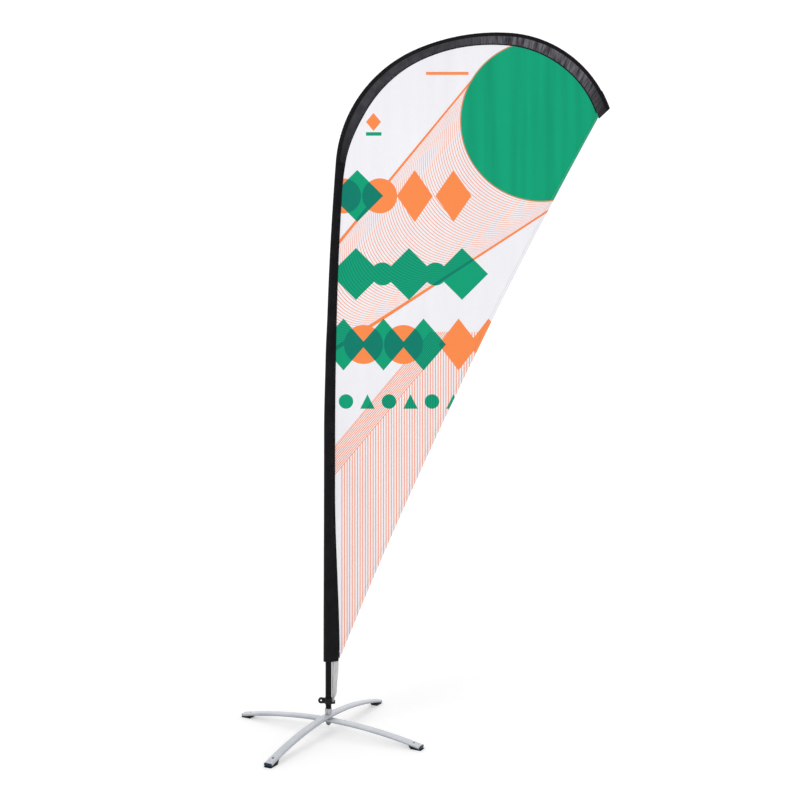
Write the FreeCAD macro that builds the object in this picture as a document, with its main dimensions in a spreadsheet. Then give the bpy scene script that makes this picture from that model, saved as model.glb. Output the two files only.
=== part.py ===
import FreeCAD, Part
import math
import os

import Sketcher

# Teardrop flag on a folding cross base. Millimetres, +Z up, floor at z = 0.
# The origin is on the swivel axis, at the centre of the four ground-peg holes.
# The flag lies in the XZ plane and flies towards +X.

os.makedirs("parts", exist_ok=True)
doc = FreeCAD.newDocument("TeardropFlag")
V = FreeCAD.Vector

# ---------------------------------------------------------------- driving dimensions

DIMENSIONS = {
    # cross base
    "bar_span": 830.0,
    "bar_width": 34.0,
    "bar_height": 12.0,
    "bar_wall": 1.5,
    "bar_corner": 4.5,
    "lower_base": 44.0,
    "upper_base": 60.0,
    "end_base": 3.0,
    "lower_azimuth": -27.5,
    "upper_azimuth": 62.5,
    "cap_thick": 4.0,
    "cap_tongue": 18.0,
    "cap_play": 0.2,
    "cap_rim": 1.6,
    "foot_length": 52.0,
    "foot_overhang": 3.0,
    "foot_inset": 1.5,
    "foot_chamfer": 9.0,
    "peg_reach": 382.0,
    "peg_hole": 4.5,
    "foot_screw_reach": 401.0,
    "foot_screw_shank": 1.8,
    "foot_screw_head": 3.6,
    "foot_screw_recess": 3.0,
    "foot_screw_length": 12.0,
    "foot_screw_head_height": 2.2,
    "foot_screw_hole_play": 0.05,
    "foot_recess_play": 0.4,
    # pivot through both bars
    "bolt_shank": 5.0,
    "bolt_play": 0.06,
    "bolt_head": 8.0,
    "bolt_head_height": 4.2,
    "bolt_bottom": 28.0,
    "bolt_chamfer": 0.6,
    "nut_flats": 17.0,
    "nut_height": 10.0,
    "nut_chamfer": 0.2,
    "washer_outer": 10.5,
    "washer_thick": 2.0,
    "spacer_outer": 12.0,
    "arch_play": 0.08,
    # bearing housing
    "housing_outer": 14.2,
    "housing_floor": 3.6,
    "housing_height": 24.0,
    "housing_neck": 9.0,
    "housing_bore": 11.0,
    "housing_chamfer": 1.2,
    "shelf_height": 9.5,
    "grub_radius": 2.3,
    "grub_height": 20.3,
    "grub_azimuth": 24.0,
    "grub_fit": 0.02,
    "grub_proud": 0.8,
    "grub_socket": 1.1,
    "grub_socket_depth": 1.6,
    "press_fit": 0.01,
    # ball bearing
    "race_width": 7.0,
    "inner_race_outer": 6.1,
    "outer_race_inner": 8.9,
    "ball_pitch": 7.5,
    "ball_radius": 1.95,
    "ball_groove": 1.99,
    "ball_count": 7,
    "cage_inner": 6.75,
    "cage_outer": 8.25,
    "cage_height": 5.2,
    "cage_pocket": 2.02,
    # rotor that carries the pole
    "rotor_shaft": 3.98,
    "shaft_drop": 15.6,
    "clip_outer": 5.4,
    "clip_inner": 3.3,
    "clip_thick": 0.9,
    "clip_gap": 3.0,
    "clip_play": 0.05,
    "bush_play": 0.07,
    "bush_height": 7.0,
    "collar_gap": 0.4,
    "collar_outer": 11.4,
    "collar_height": 15.6,
    "collar_chamfer": 1.0,
    "collar_fit": 0.02,
    "spigot_radius": 9.42,
    "spigot_height": 150.0,
    "spigot_chamfer": 2.0,
    # pole, four telescoping sections along one bent line
    "straight_run": 1083.5,
    "sweep_radius": 15100.0,
    "sweep_turn": 4.11,
    "shoulder_radius": 526.5,
    "shoulder_turn": 62.6,
    "crown_radius": 805.0,
    "crown_turn": 26.85,
    "tip_radius": 444.0,
    "tip_turn": 66.9,
    "bottom_outer": 12.2,
    "bottom_inner": 9.5,
    "middle_outer": 9.4,
    "middle_inner": 7.3,
    "upper_outer": 7.2,
    "upper_inner": 5.3,
    "end_outer": 5.2,
    "end_inner": 3.4,
    "overlap": 80.0,
    "ring_length": 14.0,
    "ring_play": 0.1,
    "ring_inset": 0.8,
    "tip_cap": 12.0,
    "tip_cap_end": 2.0,
    "tip_cap_wall": 1.0,
    # sleeve, tip pocket and flag
    "sleeve_start": 172.0,
    "sleeve_wall": 1.2,
    "sleeve_low": 18.2,
    "sleeve_mid": 12.8,
    "sleeve_high": 9.8,
    "web_thick": 1.6,
    "pocket_run": 70.0,
    "pocket_slant": 22.0,
    "pocket_floor": 1.5,
    "panel_thick": 0.8,
    "hem_width": 14.0,
    "hem_thick": 1.6,
    "seam_foot": 40.0,
    "seam_waist": 19.0,
    "seam_middle": 21.0,
    "seam_shoulder": 42.5,
    "seam_crown": 33.0,
    "seam_end": 44.0,
    "seam_gap": 0.4,
    "free_edge_sag": 36.0,
    # hook collar and tension strap
    "hook_base": 2.0,
    "hook_outer": 15.2,
    "hook_height": 24.0,
    "hook_plate": 5.0,
    "eye_reach": 29.5,
    "eye_radius": 12.0,
    "eye_hole": 3.5,
    "eye_height": 13.0,
    "hook_reach": 23.5,
    "hook_lip": 6.0,
    "hook_prong": 3.0,
    "hook_prong_height": 13.2,
    "hook_play": 0.05,
    "lug_root": 9.0,
    "strap_high_width": 26.0,
    "strap_thick": 2.0,
    "strap_head_x": 25.5,
    "strap_play": 0.6,
    "strap_end_play": 0.3,
}

sizes = doc.addObject("Spreadsheet::Sheet", "Sizes")
for row, (alias, number) in enumerate(DIMENSIONS.items(), start=1):
    sizes.set("A%d" % row, alias)
    sizes.set("B%d" % row, str(number))
    sizes.setAlias("B%d" % row, alias)
doc.recompute()


def size(expression):
    """The value of an expression in the sheet's aliases, such as 'Sizes.bar_span / 2'."""
    return float(sizes.evalExpression(expression))


def bind(item, **properties):
    """Bind properties of a document object to expressions in the sheet's aliases."""
    for name, expression in properties.items():
        item.setExpression(name, expression)


# ---------------------------------------------------------------- helpers

BARE_AXES = {"X": V(1, 0, 0), "Y": V(0, 1, 0), "Z": V(0, 0, 1)}


def turn_about(axis, degrees):
    return FreeCAD.Rotation(BARE_AXES[axis], degrees)


def new_body(label):
    body = doc.addObject("PartDesign::Body", label)
    body.Label = label
    return body


def new_sketch(body, role, name):
    """A sketch attached to one of the body's own origin planes."""
    sketch = body.newObject("Sketcher::SketchObject", name)
    plane = [item for item in body.Origin.OriginFeatures if item.Role == role][0]
    sketch.AttachmentSupport = [(plane, "")]
    sketch.MapMode = "FlatFace"
    return sketch


def fix_point(sketch, geometry, end, across, up):
    """Place a sketch point by two expressions measured from the sketch's origin."""
    for kind, expression in (("DistanceX", across), ("DistanceY", up)):
        value = size(expression)
        if abs(value) < 1e-9:
            axis = -2 if kind == "DistanceX" else -1
            sketch.addConstraint(Sketcher.Constraint("PointOnObject", geometry, end, axis))
            continue
        index = sketch.addConstraint(Sketcher.Constraint(kind, geometry, end, value))
        sketch.setExpression("Constraints[%d]" % index, expression)


def draw_polygon(sketch, corners):
    """A closed outline through corners, each a pair of expressions."""
    places = [V(size(across), size(up), 0) for across, up in corners]
    count = len(places)
    for k in range(count):
        sketch.addGeometry(Part.LineSegment(places[k], places[(k + 1) % count]))
    for k in range(count):
        sketch.addConstraint(Sketcher.Constraint("Coincident", k, 2, (k + 1) % count, 1))
    for k, (across, up) in enumerate(corners):
        fix_point(sketch, k, 1, across, up)


def draw_circle(sketch, across, up, radius):
    centre = V(size(across), size(up), 0)
    index = sketch.addGeometry(Part.Circle(centre, V(0, 0, 1), size(radius)))
    fix_point(sketch, index, 3, across, up)
    datum = sketch.addConstraint(Sketcher.Constraint("Radius", index, size(radius)))
    sketch.setExpression("Constraints[%d]" % datum, radius)


def draw_rounded_box(sketch, width, low, high, corner):
    """A rectangle with four equal rounded corners, symmetric about the vertical axis."""
    half, base, top, rad = size(width) / 2, size(low), size(high), size(corner)
    first = sketch.GeometryCount
    lines = [
        (V(-half + rad, base, 0), V(half - rad, base, 0)),
        (V(half, base + rad, 0), V(half, top - rad, 0)),
        (V(half - rad, top, 0), V(-half + rad, top, 0)),
        (V(-half, top - rad, 0), V(-half, base + rad, 0)),
    ]
    centres = [(half - rad, base + rad, -90), (half - rad, top - rad, 0),
               (-half + rad, top - rad, 90), (-half + rad, base + rad, 180)]
    for (start, finish), (across, up, angle) in zip(lines, centres):
        sketch.addGeometry(Part.LineSegment(start, finish))
        circle = Part.Circle(V(across, up, 0), V(0, 0, 1), rad)
        begin = math.radians(angle)
        sketch.addGeometry(Part.ArcOfCircle(circle, begin, begin + math.pi / 2))
    for k in range(4):
        line, arc, after = first + 2 * k, first + 2 * k + 1, first + (2 * k + 2) % 8
        sketch.addConstraint(Sketcher.Constraint("Tangent", line, 2, arc, 1))
        sketch.addConstraint(Sketcher.Constraint("Tangent", arc, 2, after, 1))
        if k:
            sketch.addConstraint(Sketcher.Constraint("Equal", first + 1, arc))
    for k, kind in ((1, "Vertical"), (2, "Horizontal"), (3, "Vertical")):
        sketch.addConstraint(Sketcher.Constraint(kind, first + 2 * k))
    sketch.addConstraint(Sketcher.Constraint("Symmetric", first, 1, first, 2, -2))
    datums = [
        (Sketcher.Constraint("Radius", first + 1, rad), corner),
        (Sketcher.Constraint("DistanceX", first, 1, first, 2, 2 * (half - rad)),
         "%s - 2 * (%s)" % (width, corner)),
        (Sketcher.Constraint("DistanceY", first, 1, base), low),
        (Sketcher.Constraint("DistanceY", first + 4, 1, top), high),
    ]
    for constraint, expression in datums:
        index = sketch.addConstraint(constraint)
        sketch.setExpression("Constraints[%d]" % index, expression)


def pad(body, sketch, name, length, both_ways=False, backwards=False):
    feature = body.newObject("PartDesign::Pad", name)
    feature.Profile = sketch
    feature.Reversed = backwards
    feature.Midplane = both_ways
    bind(feature, Length=length)
    return feature


def cut_through(body, sketch, name, backwards=False):
    """A pocket through everything on one side of the sketch; it must remove material."""
    before = body.Shape.Volume
    feature = body.newObject("PartDesign::Pocket", name)
    feature.Profile = sketch
    feature.Type = "ThroughAll"
    feature.Reversed = backwards
    doc.recompute()
    if not body.Shape.Volume < before:
        raise RuntimeError("the pocket %s cuts nothing" % name)
    return feature


def cut_depth(body, sketch, name, depth, backwards=False):
    """A pocket of one depth; it must remove material."""
    before = body.Shape.Volume
    feature = body.newObject("PartDesign::Pocket", name)
    feature.Profile = sketch
    feature.Reversed = backwards
    bind(feature, Length=depth)
    doc.recompute()
    if not body.Shape.Volume < before:
        raise RuntimeError("the pocket %s cuts nothing" % name)
    return feature


def turned(label, corners):
    """A turned piece: an outline of (radius, height) pairs revolved about the Z axis."""
    body = new_body(label)
    sketch = new_sketch(body, "XZ_Plane", label + "_outline")
    draw_polygon(sketch, corners)
    feature = body.newObject("PartDesign::Revolution", label + "_turn")
    feature.Profile = sketch
    feature.ReferenceAxis = (sketch, ["V_Axis"])
    feature.Angle = 360
    return body


def cylinder(label, radius, height, place=None):
    item = doc.addObject("Part::Cylinder", label)
    bind(item, Radius=radius, Height=height)
    if place:
        item.Placement = place
    return item


def torus(label, ring, tube, sweep=None, place=None):
    item = doc.addObject("Part::Torus", label)
    bind(item, Radius1=ring, Radius2=tube)
    if sweep is not None:
        item.Angle3 = sweep
    if place:
        item.Placement = place
    return item


def fused(label, pieces):
    """One solid from several; a single piece is returned as it is."""
    if len(pieces) == 1:
        return pieces[0]
    item = doc.addObject("Part::MultiFuse", label)
    item.Shapes = pieces
    item.Refine = True
    return item


def cut(label, base, tool):
    item = doc.addObject("Part::Cut", label)
    item.Base = base
    item.Tool = tool
    return item


def solid_group(label, shapes):
    """Identical loose pieces that share one node."""
    item = doc.addObject("Part::Feature", label)
    item.Shape = Part.Compound(shapes)
    return item


parts = []


def keep(item, label):
    """Give a finished piece its name; the name is also its file's name."""
    item.Label = label
    parts.append(item)
    return item


# ---------------------------------------------------------------- cross base
# Each bar is a flat oval tube bent to one large arc. A bar's own frame has its origin at
# the centre of that arc, so the tube is its section revolved about the Y axis.

HALF_SPAN = "Sizes.bar_span / 2"
TUBE_END = "(Sizes.bar_span / 2 - Sizes.cap_thick)"


def arc_radius(base):
    """Radius of a bar's underside: from its height at the hub to its height at the ends."""
    rise = "(%s - Sizes.end_base)" % base
    return "((%s)^2 + %s^2) / (2 * %s)" % (HALF_SPAN, rise, rise)


def bar_frame(item, base, azimuth, half_turn=False):
    """Stand a piece of the bar on the hub, at the bar's azimuth."""
    heading = size(azimuth) + (180 if half_turn else 0)
    height = size(base) - size(arc_radius(base))
    item.Placement = FreeCAD.Placement(V(0, 0, height), turn_about("Z", heading))
    bind(item, **{".Placement.Base.z": "%s - %s" % (base, arc_radius(base))})


def leg_bar(name, base, azimuth):
    radius = arc_radius(base)
    body = new_body(name + "_leg_bar")
    section = new_sketch(body, "YZ_Plane", name + "_bar_section")
    draw_rounded_box(section, "Sizes.bar_width", radius, radius + " + Sizes.bar_height",
                     "Sizes.bar_corner")
    draw_rounded_box(section, "Sizes.bar_width - 2 * Sizes.bar_wall",
                     radius + " + Sizes.bar_wall",
                     radius + " + Sizes.bar_height - Sizes.bar_wall",
                     "Sizes.bar_corner - Sizes.bar_wall")
    bend = body.newObject("PartDesign::Revolution", name + "_bar_bend")
    bend.Profile = section
    bend.ReferenceAxis = (section, ["H_Axis"])
    bend.Midplane = True
    bind(bend, Angle="2 * asin(%s / (%s))" % (TUBE_END, radius))
    doc.recompute()

    holes = new_sketch(body, "XY_Plane", name + "_bar_holes")
    draw_circle(holes, "0", "0", "Sizes.bolt_shank + Sizes.bolt_play")
    draw_circle(holes, "Sizes.peg_reach", "0", "Sizes.peg_hole")
    draw_circle(holes, "-Sizes.peg_reach", "0", "Sizes.peg_hole")
    cut_through(body, holes, name + "_bar_drilling", backwards=True)

    screws = new_sketch(body, "XY_Plane", name + "_bar_screws")
    for side in ("", "-"):
        draw_circle(screws, side + "Sizes.foot_screw_reach", "0", "Sizes.foot_screw_shank")
    cut_depth(body, screws, name + "_bar_screw_holes", radius, backwards=True)
    bar_frame(body, base, azimuth)
    return keep(body, name + "_leg_bar")


def end_cap(name, side, base, azimuth):
    """A plug: a flange over the tube's end and a tongue inside it, square to the tube."""
    radius = arc_radius(base)
    label = "%s_bar_cap_%s" % (name, side)
    middle = "Sizes.bar_height / 2"
    body = new_body(label + "_plug")
    face = new_sketch(body, "YZ_Plane", label + "_face")
    draw_rounded_box(face, "Sizes.bar_width", "-%s" % middle, middle, "Sizes.bar_corner")
    pad(body, face, label + "_flange", "Sizes.cap_thick")
    inside = "Sizes.bar_wall + Sizes.cap_play"
    core = new_sketch(body, "YZ_Plane", label + "_core")
    draw_rounded_box(core, "Sizes.bar_width - 2 * (%s)" % inside,
                     "-%s + %s" % (middle, inside), "%s - (%s)" % (middle, inside),
                     "Sizes.bar_corner - Sizes.bar_wall")
    pad(body, core, label + "_tongue", "Sizes.cap_tongue", backwards=True)
    doc.recompute()
    plug = body.Tip
    outer = [k + 1 for k, edge in enumerate(plug.Shape.Edges)
             if edge.BoundBox.XMin > size("Sizes.cap_thick") - 0.01]
    rim = body.newObject("PartDesign::Fillet", label + "_rim")
    rim.Base = (plug, ["Edge%d" % k for k in outer])
    bind(rim, Radius="Sizes.cap_rim")
    doc.recompute()

    tilt = math.degrees(math.asin(size(TUBE_END) / size(radius)))
    reach = size(radius) + size(middle)
    drop = size(base) - size(radius)
    spot = turn_about("Y", tilt).multVec(V(0, 0, reach)) + V(0, 0, drop)
    heading = size(azimuth) + (180 if side == "b" else 0)
    swing = FreeCAD.Placement(V(0, 0, 0), turn_about("Z", heading))
    body.Placement = swing.multiply(FreeCAD.Placement(spot, turn_about("Y", tilt)))
    doc.recompute()
    screw = screw_shape(azimuth, side == "b")
    drilled = doc.addObject("Part::Feature", label + "_drilled")
    drilled.Shape = body.Shape.cut(screw)
    return keep(drilled, label)


def screw_shape(azimuth, half_turn):
    """One foot screw: a pan head in the pad's recess and a shank up into the plug."""
    reach, seat = size("Sizes.foot_screw_reach"), size("Sizes.foot_screw_recess")
    shank = Part.makeCylinder(size("Sizes.foot_screw_shank"), size("Sizes.foot_screw_length"),
                              V(reach, 0, seat))
    head_height = size("Sizes.foot_screw_head_height")
    head = Part.makeCylinder(size("Sizes.foot_screw_head"), head_height,
                             V(reach, 0, seat - head_height))
    screw = head.fuse(shank).removeSplitter()
    heading = size(azimuth) + (180 if half_turn else 0)
    screw.rotate(V(0, 0, 0), V(0, 0, 1), heading)
    return screw


def foot_pad(name, side, base, azimuth):
    """A rubber wedge: flat on the floor, its top follows the bar's underside."""
    radius = arc_radius(base)
    label = "%s_foot_pad_%s" % (name, side)
    outer = "(Sizes.bar_span / 2 + Sizes.foot_overhang)"
    inner = "(Sizes.bar_span / 2 + Sizes.foot_overhang - Sizes.foot_length)"
    floor = "(%s - %s)" % (radius, base)
    body = new_body(label)
    side_view = new_sketch(body, "XZ_Plane", label + "_side")
    low, rad = size(floor), size(radius)
    far, near = size(outer), size(inner)
    toe = near + size("Sizes.foot_chamfer")
    places = [V(toe, low, 0), V(far, low, 0), V(far, math.sqrt(rad ** 2 - far ** 2), 0),
              V(near, math.sqrt(rad ** 2 - near ** 2), 0)]
    for k in (0, 1, 3):
        side_view.addGeometry(Part.LineSegment(places[k], places[(k + 1) % 4]))
    crown = Part.Circle(V(0, 0, 0), V(0, 0, 1), rad)
    side_view.addGeometry(Part.ArcOfCircle(crown, math.acos(far / rad), math.acos(near / rad)))
    for first, end, second, start in ((0, 2, 1, 1), (1, 2, 3, 1), (3, 2, 2, 1), (2, 2, 0, 1)):
        side_view.addConstraint(Sketcher.Constraint("Coincident", first, end, second, start))
    side_view.addConstraint(Sketcher.Constraint("Coincident", 3, 3, -1, 1))
    fix_point(side_view, 0, 1, inner + " + Sizes.foot_chamfer", floor)
    fix_point(side_view, 0, 2, outer, floor)
    side_view.addConstraint(Sketcher.Constraint("Vertical", 1))
    index = side_view.addConstraint(Sketcher.Constraint("Radius", 3, rad))
    side_view.setExpression("Constraints[%d]" % index, radius)
    index = side_view.addConstraint(Sketcher.Constraint("DistanceX", 2, 1, near))
    side_view.setExpression("Constraints[%d]" % index, inner)
    pad(body, side_view, label + "_block", "Sizes.bar_width - 2 * Sizes.foot_inset",
        both_ways=True)
    doc.recompute()
    holes = new_sketch(body, "XY_Plane", label + "_holes")
    draw_circle(holes, "Sizes.peg_reach", "0", "Sizes.peg_hole")
    draw_circle(holes, "Sizes.foot_screw_reach", "0",
                "Sizes.foot_screw_shank + Sizes.foot_screw_hole_play")
    cut_through(body, holes, label + "_drilling", backwards=True)
    recess = new_sketch(body, "XY_Plane", label + "_recess")
    draw_circle(recess, "Sizes.foot_screw_reach", "0",
                "Sizes.foot_screw_head + Sizes.foot_recess_play")
    cut_depth(body, recess, label + "_counterbore", floor + " + Sizes.foot_screw_recess",
              backwards=True)
    bar_frame(body, base, azimuth, half_turn=(side == "b"))
    return keep(body, label)


for bar_name, bar_base, bar_azimuth in (
        ("lower", "Sizes.lower_base", "Sizes.lower_azimuth"),
        ("upper", "Sizes.upper_base", "Sizes.upper_azimuth")):
    leg_bar(bar_name, bar_base, bar_azimuth)
    for bar_side in ("a", "b"):
        end_cap(bar_name, bar_side, bar_base, bar_azimuth)
        foot_pad(bar_name, bar_side, bar_base, bar_azimuth)
    both = [screw_shape(bar_azimuth, turned_round) for turned_round in (False, True)]
    keep(solid_group(bar_name + "_foot_screws", both), bar_name + "_foot_screws")

# ---------------------------------------------------------------- pivot through the bars
# Heights of the stack, from the floor up: nut, washer, lower bar, spacer, upper bar, housing.

UPPER_TOP = "(Sizes.upper_base + Sizes.bar_height)"
LOWER_TOP = "(Sizes.lower_base + Sizes.bar_height)"
BOLT_HOLE = "(Sizes.bolt_shank + Sizes.bolt_play)"
HOUSING_FLOOR = "(%s + Sizes.housing_floor)" % UPPER_TOP
WASHER_LOW = "(Sizes.lower_base - Sizes.washer_thick)"
NUT_LOW = "(%s - Sizes.nut_height)" % WASHER_LOW


def ring(label, inner, outer, low, high):
    corners = [(inner, low), (outer, low), (outer, high), (inner, high)]
    return keep(turned(label, corners), label)


ring("pivot_washer", BOLT_HOLE, "Sizes.washer_outer", WASHER_LOW,
     "Sizes.lower_base - Sizes.arch_play")
ring("bar_spacer", BOLT_HOLE, "Sizes.spacer_outer", LOWER_TOP,
     "Sizes.upper_base - Sizes.arch_play")

keep(turned("pivot_bolt", [
    ("0", "Sizes.bolt_bottom"),
    ("Sizes.bolt_shank - Sizes.bolt_chamfer", "Sizes.bolt_bottom"),
    ("Sizes.bolt_shank", "Sizes.bolt_bottom + Sizes.bolt_chamfer"),
    ("Sizes.bolt_shank", HOUSING_FLOOR),
    ("Sizes.bolt_head", HOUSING_FLOOR),
    ("Sizes.bolt_head", HOUSING_FLOOR + " + Sizes.bolt_head_height"),
    ("0", HOUSING_FLOOR + " + Sizes.bolt_head_height"),
]), "pivot_bolt")


def lock_nut():
    """A hexagon with its corners chamfered, threaded on the bolt's lower end."""
    hexagon = doc.addObject("Part::Prism", "nut_hexagon")
    hexagon.Polygon = 6
    bind(hexagon, Circumradius="Sizes.nut_flats / sqrt(3)", Height="Sizes.nut_height")
    bind(hexagon, **{".Placement.Base.z": NUT_LOW})
    dome = doc.addObject("Part::Cone", "nut_dome")
    bind(dome, Radius1="Sizes.nut_flats / 2 - Sizes.nut_chamfer",
         Radius2="Sizes.nut_flats / 2 + Sizes.nut_height / 2", Height="Sizes.nut_height")
    bind(dome, **{".Placement.Base.z": NUT_LOW})
    blank = doc.addObject("Part::Common", "nut_blank")
    blank.Base = hexagon
    blank.Tool = dome
    thread = cylinder("nut_thread", BOLT_HOLE, "Sizes.nut_height")
    bind(thread, **{".Placement.Base.z": NUT_LOW})
    return keep(cut("lock_nut", blank, thread), "lock_nut")


lock_nut()

# ---------------------------------------------------------------- bearing housing

SHELF = "(%s + Sizes.shelf_height)" % UPPER_TOP
HOUSING_TOP = "(%s + Sizes.housing_height)" % UPPER_TOP
RACE_TOP = "(%s + Sizes.race_width)" % SHELF
BALL_LEVEL = "(%s + Sizes.race_width / 2)" % SHELF


def bearing_housing():
    body = turned("bearing_housing", [
        (BOLT_HOLE, UPPER_TOP),
        ("Sizes.housing_outer", UPPER_TOP),
        ("Sizes.housing_outer", HOUSING_TOP + " - Sizes.housing_chamfer"),
        ("Sizes.housing_outer - Sizes.housing_chamfer", HOUSING_TOP),
        ("Sizes.housing_bore", HOUSING_TOP),
        ("Sizes.housing_bore", SHELF),
        ("Sizes.housing_neck", SHELF),
        ("Sizes.housing_neck", HOUSING_FLOOR),
        (BOLT_HOLE, HOUSING_FLOOR),
    ])
    doc.recompute()
    hole = new_sketch(body, "XZ_Plane", "grub_hole")
    draw_circle(hole, "0", "%s + Sizes.grub_height" % UPPER_TOP, "Sizes.grub_radius")
    cut_through(body, hole, "grub_drilling", backwards=True)
    body.Placement.Rotation = turn_about("Z", size("Sizes.grub_azimuth"))
    return keep(body, "bearing_housing")


def grub_screw():
    """A socket set screw in the housing's wall; it holds the bush above the bearing."""
    body = new_body("grub_blank")
    outline = new_sketch(body, "XZ_Plane", "grub_outline")
    draw_circle(outline, "0", "%s + Sizes.grub_height" % UPPER_TOP,
                "Sizes.grub_radius - Sizes.grub_fit")
    pad(body, outline, "grub_shank", "Sizes.housing_outer + Sizes.grub_proud")
    doc.recompute()
    inside = cylinder("grub_inside", "Sizes.housing_bore", "Sizes.housing_height")
    bind(inside, **{".Placement.Base.z": UPPER_TOP})
    shank = cut("grub_trimmed", body, inside)
    socket = doc.addObject("Part::Prism", "grub_socket")
    socket.Polygon = 6
    bind(socket, Circumradius="Sizes.grub_socket", Height="Sizes.grub_socket_depth")
    reach = size("Sizes.housing_outer + Sizes.grub_proud")
    level = size("%s + Sizes.grub_height" % UPPER_TOP)
    socket.Placement = FreeCAD.Placement(V(0, -reach, level), turn_about("X", -90))
    screw = cut("grub_screw_cut", shank, socket)
    screw.Placement.Rotation = turn_about("Z", size("Sizes.grub_azimuth"))
    return keep(screw, "grub_screw")


bearing_housing()
grub_screw()

# ---------------------------------------------------------------- ball bearing


def race(label, inner, outer):
    """A race: a ring with the ball track grooved into it."""
    body = turned(label, [(inner, SHELF), (outer, SHELF), (outer, RACE_TOP),
                          (inner, RACE_TOP)])
    doc.recompute()
    before = body.Shape.Volume
    track = new_sketch(body, "XZ_Plane", label + "_track")
    draw_circle(track, "Sizes.ball_pitch", BALL_LEVEL, "Sizes.ball_groove")
    groove = body.newObject("PartDesign::Groove", label + "_groove")
    groove.Profile = track
    groove.ReferenceAxis = (track, ["V_Axis"])
    groove.Angle = 360
    doc.recompute()
    if not body.Shape.Volume < before - 1.0:
        raise RuntimeError("the groove of %s cuts nothing" % label)
    return keep(body, label)


def ball_places():
    count = int(size("Sizes.ball_count"))
    pitch, level = size("Sizes.ball_pitch"), size(BALL_LEVEL)
    for k in range(count):
        angle = 2 * math.pi * k / count
        yield V(pitch * math.cos(angle), pitch * math.sin(angle), level)


def ball_cage():
    body = turned("cage_blank", [
        ("Sizes.cage_inner", BALL_LEVEL + " - Sizes.cage_height / 2"),
        ("Sizes.cage_outer", BALL_LEVEL + " - Sizes.cage_height / 2"),
        ("Sizes.cage_outer", BALL_LEVEL + " + Sizes.cage_height / 2"),
        ("Sizes.cage_inner", BALL_LEVEL + " + Sizes.cage_height / 2"),
    ])
    pockets = []
    for k, place in enumerate(ball_places()):
        outward = V(place.x, place.y, 0).normalize()
        aim = FreeCAD.Placement(V(0, 0, place.z), FreeCAD.Rotation(V(0, 0, 1), outward))
        pockets.append(cylinder("cage_pocket_%d" % k, "Sizes.cage_pocket",
                                "Sizes.housing_bore", aim))
    return keep(cut("bearing_cage_cut", body, fused("cage_pockets", pockets)), "bearing_cage")


race("bearing_outer_race", "Sizes.outer_race_inner", "Sizes.housing_bore - Sizes.press_fit")
race("bearing_inner_race", "Sizes.rotor_shaft + Sizes.press_fit", "Sizes.inner_race_outer")
balls = [Part.makeSphere(size("Sizes.ball_radius"), place) for place in ball_places()]
keep(solid_group("bearing_balls", balls), "bearing_balls")
ball_cage()

ring("upper_bush", "Sizes.rotor_shaft + Sizes.bush_play",
     "Sizes.housing_bore - Sizes.press_fit",
     HOUSING_TOP + " - Sizes.bush_height", HOUSING_TOP)

# ---------------------------------------------------------------- rotor

COLLAR_LOW = "(%s + Sizes.collar_gap)" % HOUSING_TOP
COLLAR_TOP = "(%s + Sizes.collar_height)" % COLLAR_LOW
SHAFT_LOW = "(%s - Sizes.shaft_drop)" % HOUSING_TOP
CLIP_TOP = "(%s - 2 * Sizes.clip_play)" % SHELF

keep(turned("rotor_spindle", [
    ("0", SHAFT_LOW),
    ("Sizes.rotor_shaft - Sizes.collar_gap", SHAFT_LOW),
    ("Sizes.rotor_shaft - Sizes.collar_gap", CLIP_TOP + " - Sizes.clip_thick - Sizes.clip_play"),
    ("Sizes.clip_inner - Sizes.clip_play", CLIP_TOP + " - Sizes.clip_thick - Sizes.clip_play"),
    ("Sizes.clip_inner - Sizes.clip_play", CLIP_TOP + " + Sizes.clip_play"),
    ("Sizes.rotor_shaft", CLIP_TOP + " + Sizes.clip_play"),
    ("Sizes.rotor_shaft", COLLAR_TOP),
    ("Sizes.spigot_radius", COLLAR_TOP),
    ("Sizes.spigot_radius", COLLAR_TOP + " + Sizes.spigot_height - Sizes.spigot_chamfer"),
    ("Sizes.spigot_radius - Sizes.spigot_chamfer", COLLAR_TOP + " + Sizes.spigot_height"),
    ("0", COLLAR_TOP + " + Sizes.spigot_height"),
]), "rotor_spindle")

keep(turned("rotor_collar", [
    ("Sizes.rotor_shaft + Sizes.collar_fit", COLLAR_LOW),
    ("Sizes.collar_outer", COLLAR_LOW),
    ("Sizes.collar_outer", COLLAR_TOP + " - Sizes.collar_chamfer"),
    ("Sizes.collar_outer - Sizes.collar_chamfer", COLLAR_TOP),
    ("Sizes.rotor_shaft + Sizes.collar_fit", COLLAR_TOP),
]), "rotor_collar")


def circlip():
    """A split ring in the shaft's groove, under the inner race."""
    body = turned("circlip_ring", [
        ("Sizes.clip_inner", CLIP_TOP + " - Sizes.clip_thick"),
        ("Sizes.clip_outer", CLIP_TOP + " - Sizes.clip_thick"),
        ("Sizes.clip_outer", CLIP_TOP),
        ("Sizes.clip_inner", CLIP_TOP),
    ])
    gap = doc.addObject("Part::Box", "circlip_gap")
    bind(gap, Length="2 * Sizes.clip_outer", Width="Sizes.clip_gap",
         Height="3 * Sizes.clip_thick")
    gap.Placement.Base = V(0, -size("Sizes.clip_gap / 2"),
                           size("%s - 2 * Sizes.clip_thick" % CLIP_TOP))
    return keep(cut("circlip_cut", body, gap), "circlip")


circlip()

# ---------------------------------------------------------------- pole
# The pole's line starts at the rotor's collar, runs straight up and then through four
# tangent arcs that turn clockwise in the XZ plane.


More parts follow.
